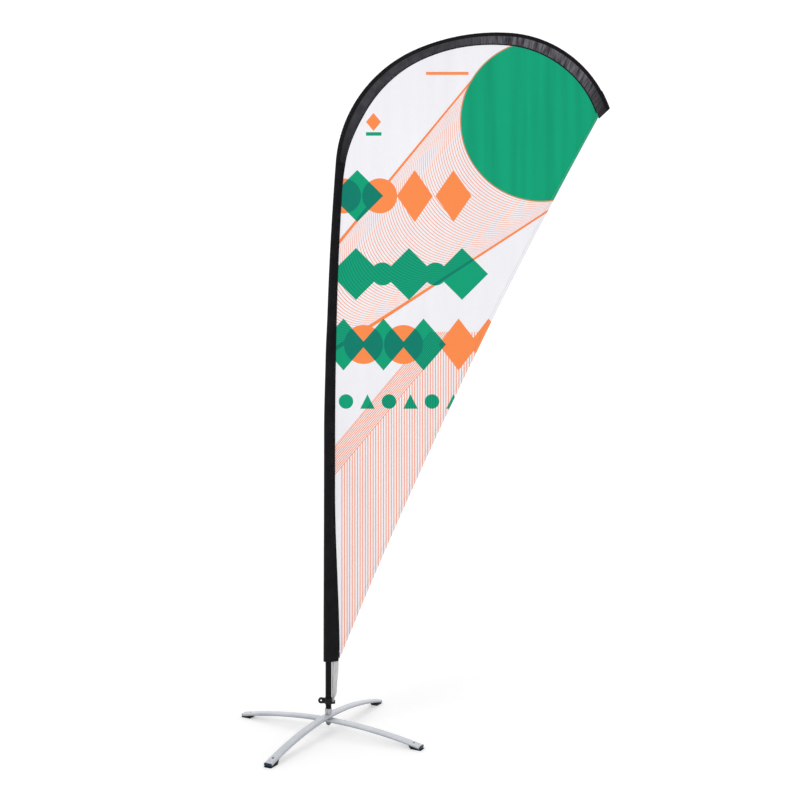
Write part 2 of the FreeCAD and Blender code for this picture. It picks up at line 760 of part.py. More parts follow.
class Run:
    """One stretch of the line: where it starts, its heading and how it turns."""

    def __init__(self, start, heading, from_length, length, radius):
        self.start = start
        self.heading = heading
        self.low = from_length
        self.high = from_length + length
        self.radius = radius

    def centre(self):
        return self.start + V(math.cos(self.heading), 0, -math.sin(self.heading)) * self.radius

    def heading_at(self, along):
        if not self.radius:
            return self.heading
        return self.heading + (along - self.low) / self.radius

    def point_at(self, along):
        if not self.radius:
            return self.start + V(math.sin(self.heading), 0,
                                  math.cos(self.heading)) * (along - self.low)
        heading = self.heading_at(along)
        return self.centre() - V(math.cos(heading), 0, -math.sin(heading)) * self.radius


def pole_runs():
    runs = [Run(V(0, 0, size(COLLAR_TOP)), 0.0, 0.0, size("Sizes.straight_run"), None)]
    for name in ("sweep", "shoulder", "crown", "tip"):
        last = runs[-1]
        radius = size("Sizes.%s_radius" % name)
        turn = math.radians(size("Sizes.%s_turn" % name))
        runs.append(Run(last.point_at(last.high), last.heading_at(last.high), last.high,
                        radius * turn, radius))
    return runs


RUNS = pole_runs()
LINE_END = RUNS[-1].high


def run_at(along):
    for run in RUNS:
        if along <= run.high + 1e-9:
            return run
    return RUNS[-1]


def line_point(along, offset=0.0):
    """A point on the pole's line, or beside it by offset towards the flag."""
    run = run_at(along)
    heading = run.heading_at(along)
    return run.point_at(along) + V(math.cos(heading), 0, -math.sin(heading)) * offset


def rod(label, low, high, radius):
    """A round rod along the line from one length to another, from primitives."""
    pieces = []
    for number, run in enumerate(RUNS):
        start, finish = max(low, run.low), min(high, run.high)
        if finish - start < 1e-6:
            continue
        heading = run.heading_at(start)
        tag = "%s_%d" % (label, number)
        if not run.radius:
            place = FreeCAD.Placement(run.point_at(start), FreeCAD.Rotation())
            piece = cylinder(tag, radius, "%.6f" % (finish - start), place)
        else:
            outward = V(-math.cos(heading), 0, math.sin(heading))
            forward = V(math.sin(heading), 0, math.cos(heading))
            spin = FreeCAD.Rotation(outward, forward, V(0, 1, 0), "XYZ")
            sweep = math.degrees((finish - start) / run.radius)
            place = FreeCAD.Placement(run.centre(), spin)
            piece = torus(tag, "%.6f" % run.radius, radius, sweep, place)
        pieces.append(piece)
    return fused(label, pieces)


def pole_tube(label, low, high, inner, outer):
    return keep(cut(label + "_tube", rod(label + "_outer", low, high, outer),
                    rod(label + "_bore", low, high, inner)), label)


JOINTS = [RUNS[0].high, RUNS[1].high, RUNS[3].high]
OVERLAP = size("Sizes.overlap")
RING = size("Sizes.ring_length")

pole_tube("pole_bottom_section", 0.0, JOINTS[0], "Sizes.bottom_inner", "Sizes.bottom_outer")
pole_tube("pole_middle_section", JOINTS[0] - OVERLAP, JOINTS[1], "Sizes.middle_inner",
          "Sizes.middle_outer")
pole_tube("pole_upper_section", JOINTS[1] - OVERLAP, JOINTS[2], "Sizes.upper_inner",
          "Sizes.upper_outer")
TIP_CAP = size("Sizes.tip_cap")
pole_tube("pole_tip_section", JOINTS[2] - OVERLAP, LINE_END - TIP_CAP, "Sizes.end_inner",
          "Sizes.end_outer")
for ring_label, joint, inner_size, outer_size in (
        ("lower_stop_ring", JOINTS[0], "Sizes.middle_outer", "Sizes.bottom_outer"),
        ("middle_stop_ring", JOINTS[1], "Sizes.upper_outer", "Sizes.middle_outer"),
        ("upper_stop_ring", JOINTS[2], "Sizes.end_outer", "Sizes.upper_outer")):
    pole_tube(ring_label, joint, joint + RING, inner_size + " + Sizes.ring_play",
              outer_size + " - Sizes.ring_inset")
keep(rod("pole_tip_cap", LINE_END - TIP_CAP, LINE_END - size("Sizes.tip_cap_end"),
         "Sizes.end_outer + Sizes.tip_cap_wall"), "pole_tip_cap")

# ---------------------------------------------------------------- sleeve, pocket and flag

SLEEVE_START = size("Sizes.sleeve_start")
POCKET_START = LINE_END - size("Sizes.pocket_run")
SEAM_END = LINE_END + size("Sizes.pocket_slant")


def seam_offset(along):
    """How far the seam between sleeve and flag lies from the pole's line."""
    stations = [
        (SLEEVE_START, "seam_foot"),
        (RUNS[0].high - 230, "seam_waist"),
        (RUNS[1].low + 200, "seam_middle"),
        (RUNS[1].high - 110, "seam_waist"),
        (RUNS[2].low + 240, "seam_shoulder"),
        (RUNS[3].low + 130, "seam_crown"),
        (RUNS[4].low + 300, "seam_end"),
        (SEAM_END, "seam_end"),
    ]
    for (low, first), (high, second) in zip(stations, stations[1:]):
        if along <= high:
            share = max(0.0, (along - low) / (high - low))
            ease = share * share * (3 - 2 * share)
            start, finish = size("Sizes." + first), size("Sizes." + second)
            return start + (finish - start) * ease
    return size("Sizes.seam_end")


def curve(places):
    spline = Part.BSplineCurve()
    spline.interpolate(places)
    return spline.toShape()


def seam_points(low, high, count, gap=0.0):
    """Points along the seam, or gap outside it, evenly spaced."""
    steps = [low + (high - low) * k / (count - 1) for k in range(count)]
    return [line_point(along, seam_offset(along) + gap) for along in steps]


def plate(wire_edges, thick):
    """A flat sheet of the given thickness, centred on the XZ plane."""
    face = Part.Face(Part.Wire(wire_edges))
    face.translate(V(0, -thick / 2, 0))
    return face.extrude(V(0, thick, 0))


def line_edges(low, high):
    """The pole's own line between two lengths, as straight and round edges."""
    edges = []
    for run in RUNS:
        start, finish = max(low, run.low), min(high, run.high)
        if finish - start < 1e-6:
            continue
        if not run.radius:
            edges.append(Part.makeLine(run.point_at(start), run.point_at(finish)))
        else:
            middle = run.point_at((start + finish) / 2)
            edges.append(Part.Arc(run.point_at(start), middle, run.point_at(finish)).toShape())
    return edges


def web(low, high, count, slant=0.0):
    """The flat part of the sleeve, from the pole's line to the seam."""
    seam = seam_points(low, high + slant, count)
    edges = line_edges(low, high)
    edges.append(Part.makeLine(line_point(high), seam[-1]))
    edges.append(curve(seam))
    edges.append(Part.makeLine(seam[0], line_point(low)))
    return plate(Part.__sortEdges__(edges), size("Sizes.web_thick"))


def fabric(label, shape):
    item = doc.addObject("Part::Feature", label)
    item.Shape = shape
    return keep(item, label)


def sleeve_tube(label, low, high, inner):
    """The channel round the pole over one stretch: a thin tube."""
    outer_rod = rod(label + "_outer", low, high, inner + " + Sizes.sleeve_wall")
    inner_rod = rod(label + "_bore", low, high, inner)
    doc.recompute()
    return outer_rod.Shape, inner_rod.Shape


def sleeve_piece(label, stretches, low, high, count):
    """A run of sleeve: its channel, stretch by stretch, and its web."""
    skin = web(low, high, count)
    bores = []
    for number, (start, finish, inner) in enumerate(stretches):
        outside, inside = sleeve_tube("%s_%d" % (label, number), start, finish, inner)
        skin = skin.fuse(outside)
        bores.append(inside)
    for bore in bores:
        skin = skin.cut(bore)
    return fabric(label, skin.removeSplitter())


def main_sleeve():
    """Three lengths of channel, each a little narrower than the one below it."""
    sleeve_piece("pole_sleeve_lower", [(SLEEVE_START, RUNS[0].high, "Sizes.sleeve_low")],
                 SLEEVE_START, RUNS[0].high, 13)
    sleeve_piece("pole_sleeve_middle", [(RUNS[1].low, RUNS[1].high, "Sizes.sleeve_mid")],
                 RUNS[1].low, RUNS[1].high, 15)
    sleeve_piece("pole_sleeve_upper", [(RUNS[2].low, POCKET_START, "Sizes.sleeve_high")],
                 RUNS[2].low, POCKET_START, 19)


def tip_pocket():
    """The closed end of the sleeve: it takes the pole's tip and the flag's tension."""
    low, high = POCKET_START, LINE_END
    skin = web(low, high, 4, size("Sizes.pocket_slant"))
    outside, inside = sleeve_tube("tip_pocket", low, high, "Sizes.sleeve_high")
    floor = rod("tip_pocket_floor", high - size("Sizes.pocket_floor"), high,
                "Sizes.sleeve_high")
    doc.recompute()
    skin = skin.fuse(outside).cut(inside).fuse(floor.Shape)
    return fabric("tip_pocket", skin.removeSplitter())


def free_edge(inset):
    """The flag's free edge, one shallow arc from the tip to the foot, moved in by inset."""
    top = line_point(SEAM_END, size("Sizes.seam_end + Sizes.seam_gap"))
    foot = line_point(SLEEVE_START, size("Sizes.seam_foot + Sizes.seam_gap"))
    along = (foot - top).normalize()
    inward = V(along.z, 0, -along.x)
    if inward.x > 0:
        inward = inward * -1
    middle = (top + foot) * 0.5 + inward * size("Sizes.free_edge_sag")
    return [place + inward * inset for place in (top, middle, foot)]


def flag():
    """The panel, bounded by the seam and by the hem, and the hem along its free edge."""
    seam = seam_points(SLEEVE_START, SEAM_END, 45, size("Sizes.seam_gap"))
    hem_width = size("Sizes.hem_width")
    outer, inner = free_edge(0.0), free_edge(hem_width)
    whole = plate(Part.__sortEdges__([curve(seam), Part.Arc(*outer).toShape()]),
                  size("Sizes.panel_thick"))
    band_reach = 3 * hem_width
    along = (outer[2] - outer[0]).normalize()
    far = [inner[0] - along * band_reach, inner[1], inner[2] + along * band_reach]
    side = (outer[1] - inner[1]).normalize() * (4 * hem_width)
    band_edges = [Part.Arc(*far).toShape(), Part.makeLine(far[2], far[2] + side),
                  Part.makeLine(far[2] + side, far[0] + side),
                  Part.makeLine(far[0] + side, far[0])]
    band = plate(Part.__sortEdges__(band_edges), hem_width)
    fabric("flag_panel", whole.cut(band))
    thick = plate(Part.__sortEdges__([curve(seam), Part.Arc(*outer).toShape()]),
                  size("Sizes.hem_thick"))
    fabric("free_edge_hem", thick.common(band))


main_sleeve()
tip_pocket()
flag()

# ---------------------------------------------------------------- hook collar and strap

HOOK_LOW = "(%s + Sizes.hook_base)" % COLLAR_TOP


def hook_collar():
    """A moulded collar at the pole's foot: a guy-line eye on one side, a hook on the other."""
    low, tall = size(HOOK_LOW), size("Sizes.hook_height")
    plate_y = size("Sizes.hook_plate")
    outer, bore = size("Sizes.hook_outer"), size("Sizes.bottom_outer + Sizes.hook_play")
    barrel = Part.makeCylinder(outer, tall, V(0, 0, low))
    level = low + size("Sizes.eye_height")
    reach, eye = size("Sizes.eye_reach"), size("Sizes.eye_radius")
    lug = Part.makeCylinder(eye, plate_y, V(-reach, -plate_y / 2, level), V(0, 1, 0))
    root = size("Sizes.lug_root")
    middle = low + tall / 2
    outline = [V(-reach, 0, level - eye), V(0, 0, middle - root), V(0, 0, middle + root),
               V(-reach, 0, level + eye)]
    arm = Part.Face(Part.makePolygon(outline + outline[:1]))
    arm.translate(V(0, -plate_y / 2, 0))
    barrel = barrel.fuse([lug, arm.extrude(V(0, plate_y, 0))])
    tip, lip = size("Sizes.hook_reach"), size("Sizes.hook_lip")
    prong = low + size("Sizes.hook_prong_height")
    end = tip + size("Sizes.hook_prong")
    side = [V(0, 0, low), V(end, 0, low), V(end, 0, prong), V(tip, 0, prong),
            V(tip, 0, low + lip), V(0, 0, low + lip)]
    hook = Part.Face(Part.makePolygon(side + side[:1]))
    hook.translate(V(0, -plate_y, 0))
    barrel = barrel.fuse(hook.extrude(V(0, plate_y * 2, 0)))
    barrel = barrel.cut(Part.makeCylinder(bore, tall + 2, V(0, 0, low - 1)))
    hole = Part.makeCylinder(size("Sizes.eye_hole"), plate_y + 2,
                             V(-reach, -plate_y / 2 - 1, level), V(0, 1, 0))
    return fabric("hook_collar", barrel.cut(hole).removeSplitter())


def tension_strap():
    """Elastic webbing from the sleeve's foot down to the collar's hook."""
    low = size("%s + Sizes.hook_lip + Sizes.strap_end_play" % HOOK_LOW)
    top = size("%s + Sizes.sleeve_start - Sizes.strap_end_play" % COLLAR_TOP)
    neck = low + size("Sizes.hook_height")
    left = size("Sizes.hook_outer + Sizes.strap_play")
    right = size("Sizes.hook_reach - Sizes.strap_play")
    head_x, wide = size("Sizes.strap_head_x"), size("Sizes.strap_high_width / 2")
    corners = [V(left, 0, low), V(right, 0, low), V(right, 0, neck),
               V(head_x + wide, 0, top), V(left, 0, top), V(left, 0, neck)]
    face = Part.Face(Part.makePolygon(corners + corners[:1]))
    thick = size("Sizes.strap_thick")
    face.translate(V(0, -thick / 2, 0))
    return fabric("tension_strap", face.extrude(V(0, thick, 0)))


hook_collar()
tension_strap()

# ---------------------------------------------------------------- checks and export

doc.recompute()
for item in doc.Objects:
    if "Invalid" in item.State or "Error" in item.State:
        raise RuntimeError("%s is %s" % (item.Label, item.State))
for item in parts:
    if item.Shape.isNull() or not item.Shape.isValid():
        raise RuntimeError("%s has no valid shape" % item.Label)
    if not item.Shape.Solids:
        raise RuntimeError("%s has no solid" % item.Label)

for item in parts:
    item.Shape.exportStep("parts/%s.step" % item.Label)
    print("%-22s %2d solid  %10.1f mm3" % (item.Label, len(item.Shape.Solids), item.Shape.Volume))
print("%d parts, pole line %.0f mm" % (len(parts), LINE_END))
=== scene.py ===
import math
import random

import bmesh
import bpy
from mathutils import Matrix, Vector


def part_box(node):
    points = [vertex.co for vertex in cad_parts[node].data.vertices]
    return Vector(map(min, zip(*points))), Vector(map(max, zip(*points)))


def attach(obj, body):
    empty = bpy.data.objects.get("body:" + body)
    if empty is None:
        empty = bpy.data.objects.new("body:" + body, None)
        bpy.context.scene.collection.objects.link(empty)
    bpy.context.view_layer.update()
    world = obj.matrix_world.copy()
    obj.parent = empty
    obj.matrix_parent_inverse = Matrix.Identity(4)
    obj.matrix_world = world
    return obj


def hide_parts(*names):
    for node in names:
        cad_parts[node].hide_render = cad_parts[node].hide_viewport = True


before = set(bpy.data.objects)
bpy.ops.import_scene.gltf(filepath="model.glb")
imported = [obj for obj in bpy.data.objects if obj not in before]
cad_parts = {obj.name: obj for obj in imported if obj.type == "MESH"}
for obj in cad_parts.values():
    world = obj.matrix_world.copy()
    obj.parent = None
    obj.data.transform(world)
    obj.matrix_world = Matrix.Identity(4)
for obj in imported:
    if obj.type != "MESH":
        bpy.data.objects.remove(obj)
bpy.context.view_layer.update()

# Teardrop flag on a folding cross base. Metres, +Z up; the pole's foot is on the Z axis and
# the flag lies in the XZ plane. The metal and moulded pieces come from the CAD frame; this
# script makes the soft goods (sleeve, panel, hem, strap) and every material.

random.seed(7)
Z_UP = Vector((0, 0, 1))

# ---------------------------------------------------------------- the pole's line
# The same line as in the CAD model: a straight foot and four tangent arcs that turn
# towards +X. Lengths along it start at the foot of the pole.

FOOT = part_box("pole_bottom_section")[0].z
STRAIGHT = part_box("pole_bottom_section")[1].z - FOOT
ARCS = [(15.100, 4.11), (0.5265, 62.6), (0.805, 26.85), (0.444, 66.9)]


def pole_runs():
    """Each run: start length, end length, start point, start heading and radius."""
    runs = [(0.0, STRAIGHT, Vector((0, 0, FOOT)), 0.0, None)]
    point, heading, length = Vector((0, 0, FOOT + STRAIGHT)), 0.0, STRAIGHT
    for radius, turn in ARCS:
        angle = math.radians(turn)
        runs.append((length, length + radius * angle, point.copy(), heading, radius))
        centre = point + Vector((math.cos(heading), 0, -math.sin(heading))) * radius
        heading += angle
        point = centre - Vector((math.cos(heading), 0, -math.sin(heading))) * radius
        length += radius * angle
    return runs


RUNS = pole_runs()
BEND, CROWN, TIP = 2, 3, 4
LINE_END = RUNS[-1][1]


def line_frame(along):
    """Point, forward direction and direction towards the flag, at one length."""
    run = next((r for r in RUNS if along <= r[1]), RUNS[-1])
    low, _, start, heading, radius = run
    if radius is None:
        return start + Z_UP * (along - low), Z_UP.copy(), Vector((1, 0, 0))
    now = heading + (along - low) / radius
    centre = start + Vector((math.cos(heading), 0, -math.sin(heading))) * radius
    inward = Vector((math.cos(now), 0, -math.sin(now)))
    return centre - inward * radius, Vector((math.sin(now), 0, math.cos(now))), inward


def eased(stations, along):
    """A value that runs smoothly through (length, value) stations."""
    if along <= stations[0][0]:
        return stations[0][1]
    for (low, first), (high, second) in zip(stations, stations[1:]):
        if along <= high:
            share = (along - low) / (high - low)
            return first + (second - first) * share * share * (3 - 2 * share)
    return stations[-1][1]


# The seam between sleeve and panel, as (length along the pole, distance towards the flag).
SLEEVE_START = 0.172
POCKET_START = LINE_END - 0.070
SEAM_END = LINE_END + 0.022
SEAM_STATIONS = [
    (SLEEVE_START, 0.040), (STRAIGHT - 0.230, 0.0215), (STRAIGHT + 0.200, 0.022),
    (RUNS[BEND][0] - 0.110, 0.019), (RUNS[BEND][0] + 0.240, 0.0425),
    (RUNS[CROWN][0] + 0.130, 0.033), (RUNS[TIP][0] + 0.300, 0.044), (SEAM_END, 0.044),
]


def seam_offset(along):
    return eased(SEAM_STATIONS, along)


def seam_point(along):
    point, _, inward = line_frame(along)
    return point + inward * seam_offset(along)


FREE_EDGE_SAG = 0.036


def free_edge_arc():
    """Centre and radius of the flag's free edge, one shallow arc, with its top and foot."""
    top, foot = seam_point(SEAM_END), seam_point(SLEEVE_START)
    chord = foot - top
    radius = (chord.length / 2) ** 2 / (2 * FREE_EDGE_SAG) + FREE_EDGE_SAG / 2
    side = Vector((chord.z, 0, -chord.x)).normalized()
    if side.x > 0:
        side = -side
    centre = (top + foot) / 2 - side * (radius - FREE_EDGE_SAG)
    return centre, radius, top, foot


EDGE_CENTRE, EDGE_RADIUS, FLAG_TOP, FLAG_FOOT = free_edge_arc()


def free_edge_point(share):
    """A point of the free edge: share 0 at the foot and 1 at the tip."""
    def angle(point):
        arm = point - EDGE_CENTRE
        return math.atan2(arm.z, arm.x)
    first, last = angle(FLAG_FOOT), angle(FLAG_TOP)
    turn = (last - first + math.pi) % (2 * math.pi) - math.pi
    now = first + turn * share
    return EDGE_CENTRE + Vector((math.cos(now), 0, math.sin(now))) * EDGE_RADIUS


# ---------------------------------------------------------------- node materials


class Value:
    """A shader node's output that can be used in sums, as a number can."""

    def __init__(self, tree, socket):
        self.tree = tree
        self.socket = socket

    def made(self, operation, *others):
        node = self.tree.nodes.new("ShaderNodeMath")
        node.operation = operation
        for slot, item in enumerate((self, *others)):
            if isinstance(item, Value):
                self.tree.links.new(item.socket, node.inputs[slot])
            else:
                node.inputs[slot].default_value = item
        return Value(self.tree, node.outputs[0])

    def flipped(self, operation, other):
        return Value.constant(self.tree, other).made(operation, self)

    @staticmethod
    def constant(tree, number):
        node = tree.nodes.new("ShaderNodeValue")
        node.outputs[0].default_value = number
        return Value(tree, node.outputs[0])

    def __add__(self, other):
        return self.made("ADD", other)

    def __sub__(self, other):
        return self.made("SUBTRACT", other)

    def __rsub__(self, other):
        return self.flipped("SUBTRACT", other)

    def __mul__(self, other):
        return self.made("MULTIPLY", other)

    def __truediv__(self, other):
        return self.made("DIVIDE", other)

    def __lt__(self, other):
        return self.made("LESS_THAN", other)

    def __gt__(self, other):
        return self.made("GREATER_THAN", other)

    def __and__(self, other):
        return self.made("MULTIPLY", other)

    def __or__(self, other):
        return self.made("MAXIMUM", other)

    def squared(self):
        return self.made("MULTIPLY", self)

    def root(self):
        return self.made("MAXIMUM", 0.0).made("SQRT")

    def part(self):
        return self.made("FRACT")

    def size(self):
        return self.made("ABSOLUTE")


def new_material(name, color, roughness, metallic=0.0):
    material = bpy.data.materials.new(name)
    material.use_nodes = True
    shader = material.node_tree.nodes["Principled BSDF"]
    shader.inputs["Base Color"].default_value = (*color, 1)
    shader.inputs["Roughness"].default_value = roughness
    shader.inputs["Metallic"].default_value = metallic
    return material, material.node_tree, shader


def place_socket(tree):
    """Coordinates fixed to the piece, in metres."""
    return tree.nodes.new("ShaderNodeTexCoord").outputs["Object"]


def split_place(tree):
    node = tree.nodes.new("ShaderNodeSeparateXYZ")
    tree.links.new(place_socket(tree), node.inputs[0])
    return [Value(tree, node.outputs[k]) for k in range(3)]


def upward(tree):
    """How far the surface faces up: 1 on top, 0 on upright sides, -1 underneath."""
    split = tree.nodes.new("ShaderNodeSeparateXYZ")
    surface = tree.nodes.new("ShaderNodeNewGeometry")
    tree.links.new(surface.outputs["Normal"], split.inputs[0])
    return Value(tree, split.outputs[2])


def noise(tree, scale, detail=2.0, stretch=None):
    """Noise from 0 to 1 over the piece; stretch squeezes it along X, Y and Z."""
    node = tree.nodes.new("ShaderNodeTexNoise")
    node.inputs["Scale"].default_value = scale
    node.inputs["Detail"].default_value = detail
    source = place_socket(tree)
    if stretch:
        mapping = tree.nodes.new("ShaderNodeMapping")
        mapping.inputs["Scale"].default_value = stretch
        tree.links.new(source, mapping.inputs["Vector"])
        source = mapping.outputs[0]
    tree.links.new(source, node.inputs["Vector"])
    return Value(tree, node.outputs["Fac"])


def mix(tree, share, first, second):
    """Blend of two colours, each a tuple or another blend's output socket."""
    node = tree.nodes.new("ShaderNodeMix")
    node.data_type = "RGBA"
    for slot, color in ((6, first), (7, second)):
        if isinstance(color, tuple):
            node.inputs[slot].default_value = (*color, 1)
        else:
            tree.links.new(color, node.inputs[slot])
    tree.links.new(share.socket, node.inputs[0])
    return node.outputs[2]


def ramp(tree, value, low, high):
    """A value stretched from low..high to 0..1."""
    node = tree.nodes.new("ShaderNodeMapRange")
    node.inputs["From Min"].default_value = low
    node.inputs["From Max"].default_value = high
    tree.links.new(value.socket, node.inputs["Value"])
    return Value(tree, node.outputs[0])


def bump(tree, shader, height, distance, strength):
    node = tree.nodes.new("ShaderNodeBump")
    node.inputs["Distance"].default_value = distance
    node.inputs["Strength"].default_value = strength
    tree.links.new(height.socket, node.inputs["Height"])
    tree.links.new(node.outputs[0], shader.inputs["Normal"])


def roughen(tree, shader, value, low, high):
    """Roughness between low and high, following a 0..1 value."""
    node = tree.nodes.new("ShaderNodeMapRange")
    node.inputs["To Min"].default_value = low
    node.inputs["To Max"].default_value = high
    tree.links.new(value.socket, node.inputs["Value"])
    tree.links.new(node.outputs[0], shader.inputs["Roughness"])


def powder_coat():
    """Silver-grey powder coat: fine orange peel, duller patches, and painted shade on the sides
    and underneath, darker where the surface faces down.
    """
    material, tree, shader = new_material("powder_coat", (0.60, 0.63, 0.67), 0.38, 0.25)
    patches = noise(tree, 9.0, 3.0)
    grain = noise(tree, 900.0, 1.0)
    coat_tone = mix(tree, ramp(tree, patches, 0.35, 0.7), (0.56, 0.59, 0.64), (0.66, 0.69, 0.73))
    # Painted shade: the coat is darker on the sides and underneath, following how far the
    # surface faces down.
    painted_side_shade = mix(tree, ramp(tree, patches, 0.30, 0.7), (0.13, 0.14, 0.16), (0.21, 0.22, 0.25))
    tree.links.new(mix(tree, ramp(tree, upward(tree), -0.55, 0.42), painted_side_shade, coat_tone),
                   shader.inputs["Base Color"])
    roughen(tree, shader, patches, 0.30, 0.46)
    bump(tree, shader, grain, 0.0002, 0.35)
    shader.inputs["Coat Weight"].default_value = 0.25
    shader.inputs["Coat Roughness"].default_value = 0.25
    return material


def moulded_plastic(name, color, roughness=0.42, gloss=0.5):
    """Moulded plastic: a faint grain, with a slightly uneven gloss."""
    material, tree, shader = new_material(name, color, roughness)
    shader.inputs["Specular IOR Level"].default_value = gloss
    patches = noise(tree, 60.0, 3.0)
    grain = noise(tree, 1800.0, 1.0)
    lighter = tuple(min(1.0, c * 1.5 + 0.004) for c in color)
    tree.links.new(mix(tree, ramp(tree, patches, 0.4, 0.75), color, lighter),
                   shader.inputs["Base Color"])
    roughen(tree, shader, patches, roughness - 0.08, roughness + 0.10)
    bump(tree, shader, grain, 0.00012, 0.4)
    return material


def rubber():
    """Black rubber with a little dust on it."""
    material, tree, shader = new_material("foot_rubber", (0.018, 0.018, 0.02), 0.75)
    shader.inputs["Specular IOR Level"].default_value = 0.25
    dust = noise(tree, 45.0, 4.0)
    tree.links.new(mix(tree, ramp(tree, dust, 0.45, 0.8), (0.008, 0.008, 0.010),
                       (0.030, 0.029, 0.028)), shader.inputs["Base Color"])
    bump(tree, shader, noise(tree, 700.0, 2.0), 0.0003, 0.5)
    return material


def turned_metal(name, color, roughness, metallic=1.0, ring_scale=2600.0):
    """Turned metal: fine rings left by the tool, round the Z axis."""
    material, tree, shader = new_material(name, color, roughness, metallic)
    rings = noise(tree, 1.0, 2.0, (60.0, 60.0, ring_scale))
    stains = noise(tree, 80.0, 3.0)
    darker = tuple(c * 0.78 for c in color)
    tree.links.new(mix(tree, ramp(tree, stains, 0.35, 0.7), darker, color),
                   shader.inputs["Base Color"])
    roughen(tree, shader, rings, roughness - 0.08, roughness + 0.12)
    bump(tree, shader, rings, 0.00008, 0.35)
    return material


def zinc_plate(name, bright, dull):
    """Plated steel with a fine spangle, from bright to dull."""
    material, tree, shader = new_material(name, bright, 0.34, 1.0)
    spangle = tree.nodes.new("ShaderNodeTexVoronoi")
    spangle.inputs["Scale"].default_value = 700.0
    tree.links.new(place_socket(tree), spangle.inputs["Vector"])
    flakes = Value(tree, spangle.outputs["Distance"])
    tree.links.new(mix(tree, ramp(tree, flakes, 0.1, 0.8), bright, dull),
                   shader.inputs["Base Color"])
    roughen(tree, shader, flakes, 0.26, 0.44)
    return material


def weave_height(tree, pitch):
    """Height of a fine knit: two crossing waves, one thread apart."""
    x, _, z = split_place(tree)
    turns = 2 * math.pi / pitch
    first = ((x + z) * turns).made("SINE")
    second = ((x - z) * turns).made("SINE")
    return first * second


def black_cloth(name, color, sheen, thread=0.0011):
    """Black polyester strip with a satin sheen and a fine weave."""
    material, tree, shader = new_material(name, color, 0.56)
    soft = noise(tree, 22.0, 4.0)
    lighter = tuple(c * 1.7 + 0.002 for c in color)
    tree.links.new(mix(tree, ramp(tree, soft, 0.35, 0.75), color, lighter),
                   shader.inputs["Base Color"])
    roughen(tree, shader, soft, 0.48, 0.66)
    shader.inputs["Specular IOR Level"].default_value = 0.10
    shader.inputs["Sheen Weight"].default_value = sheen
    shader.inputs["Sheen Roughness"].default_value = 0.35
    shader.inputs["Sheen Tint"].default_value = (0.75, 0.75, 0.85, 1)
    bump(tree, shader, weave_height(tree, thread) + soft * 1.5, 0.00022, 0.45)
    return material


def cross_ribs(tree, x, z):
    """Streaks that run across the sleeve, round the centre of the pole's crown arc: the pattern
    for the painted rib highlights and for the ribs' bump.
    """
    _, _, start, heading, radius = RUNS[CROWN]
    centre_x = start.x + math.cos(heading) * radius
    centre_z = start.z - math.sin(heading) * radius
    angle = (z - centre_z).made("ARCTAN2", x - centre_x)
    reach = ((x - centre_x).squared() + (z - centre_z).squared()).root()
    joined = tree.nodes.new("ShaderNodeCombineXYZ")
    tree.links.new((angle * 95.0).socket, joined.inputs[0])
    tree.links.new((reach * 16.0).socket, joined.inputs[1])
    node = tree.nodes.new("ShaderNodeTexNoise")
    node.inputs["Scale"].default_value = 1.0
    node.inputs["Detail"].default_value = 3.0
    tree.links.new(joined.outputs[0], node.inputs["Vector"])
    return Value(tree, node.outputs["Fac"])


def painted_sheen_satin():
    """The sleeve's web where the bend stretches it: black low down and at the tip; over the arc
    a painted satin-grey sheen, with painted highlights on the ribs across it."""
    material, tree, shader = new_material("painted_sheen_satin", (0.05, 0.05, 0.06), 0.44)
    x, _, z = split_place(tree)
    soft = noise(tree, 34.0, 4.0)
    ribs = ramp(tree, cross_ribs(tree, x, z), 0.34, 0.66)
    dark = mix(tree, soft, (0.005, 0.005, 0.007), (0.010, 0.010, 0.013))
    gathered = ramp(tree, x, 0.50, 0.74)
    # Painted sheen: the greys over the arc are painted light on the black web, smooth to the
    # left and as bright and dark ribs to the right.
    smooth = mix(tree, ramp(tree, soft, 0.3, 0.7), (0.022, 0.022, 0.028), (0.052, 0.050, 0.060))
    painted_rib_highlights = mix(tree, ribs, (0.016, 0.015, 0.020), (0.150, 0.138, 0.160))
    satin = mix(tree, gathered, smooth, painted_rib_highlights)
    sheen_over_arc = ramp(tree, z, 2.285, 2.50) & ramp(tree, x, 1.105, 1.02)
    tree.links.new(mix(tree, sheen_over_arc, dark, satin), shader.inputs["Base Color"])
    roughen(tree, shader, soft, 0.40, 0.58)
    shader.inputs["Specular IOR Level"].default_value = 0.20
    shader.inputs["Sheen Weight"].default_value = 0.06
    shader.inputs["Sheen Roughness"].default_value = 0.4
    bump(tree, shader, weave_height(tree, 0.0011) + ribs * 1.5, 0.0003, 0.5)
    return material


WEBBING_RIB = 0.0016


def elastic_webbing():
    """Light grey elastic: fine ribs along its length and uneven streaks."""
    material, tree, shader = new_material("elastic_webbing", (0.62, 0.62, 0.65), 0.6)
    x = split_place(tree)[0]
    ribs = (x * (2 * math.pi / WEBBING_RIB)).made("SINE")
    shade = noise(tree, 1.0, 3.0, (420.0, 420.0, 26.0))
    tree.links.new(mix(tree, ramp(tree, shade, 0.35, 0.7), (0.50, 0.50, 0.50),
                       (0.84, 0.84, 0.86)), shader.inputs["Base Color"])
    shader.inputs["Sheen Weight"].default_value = 0.2
    bump(tree, shader, ribs + shade * 2.0, 0.0003, 0.6)
    return material


# ---------------------------------------------------------------- the flag's print

GROUND = (0.90, 0.895, 0.94)
GREEN = (0.004, 0.366, 0.185)
DEEP_GREEN = (0.003, 0.215, 0.150)
ORANGE = (1.0, 0.262, 0.078)
TILE_ORANGE = (1.0, 0.275, 0.080)
RIM_ORANGE = (0.72, 0.24, 0.09)
RIM_WIDTH = 0.004
DISC_X, DISC_Z, DISC_R = 0.850, 2.444, 0.320


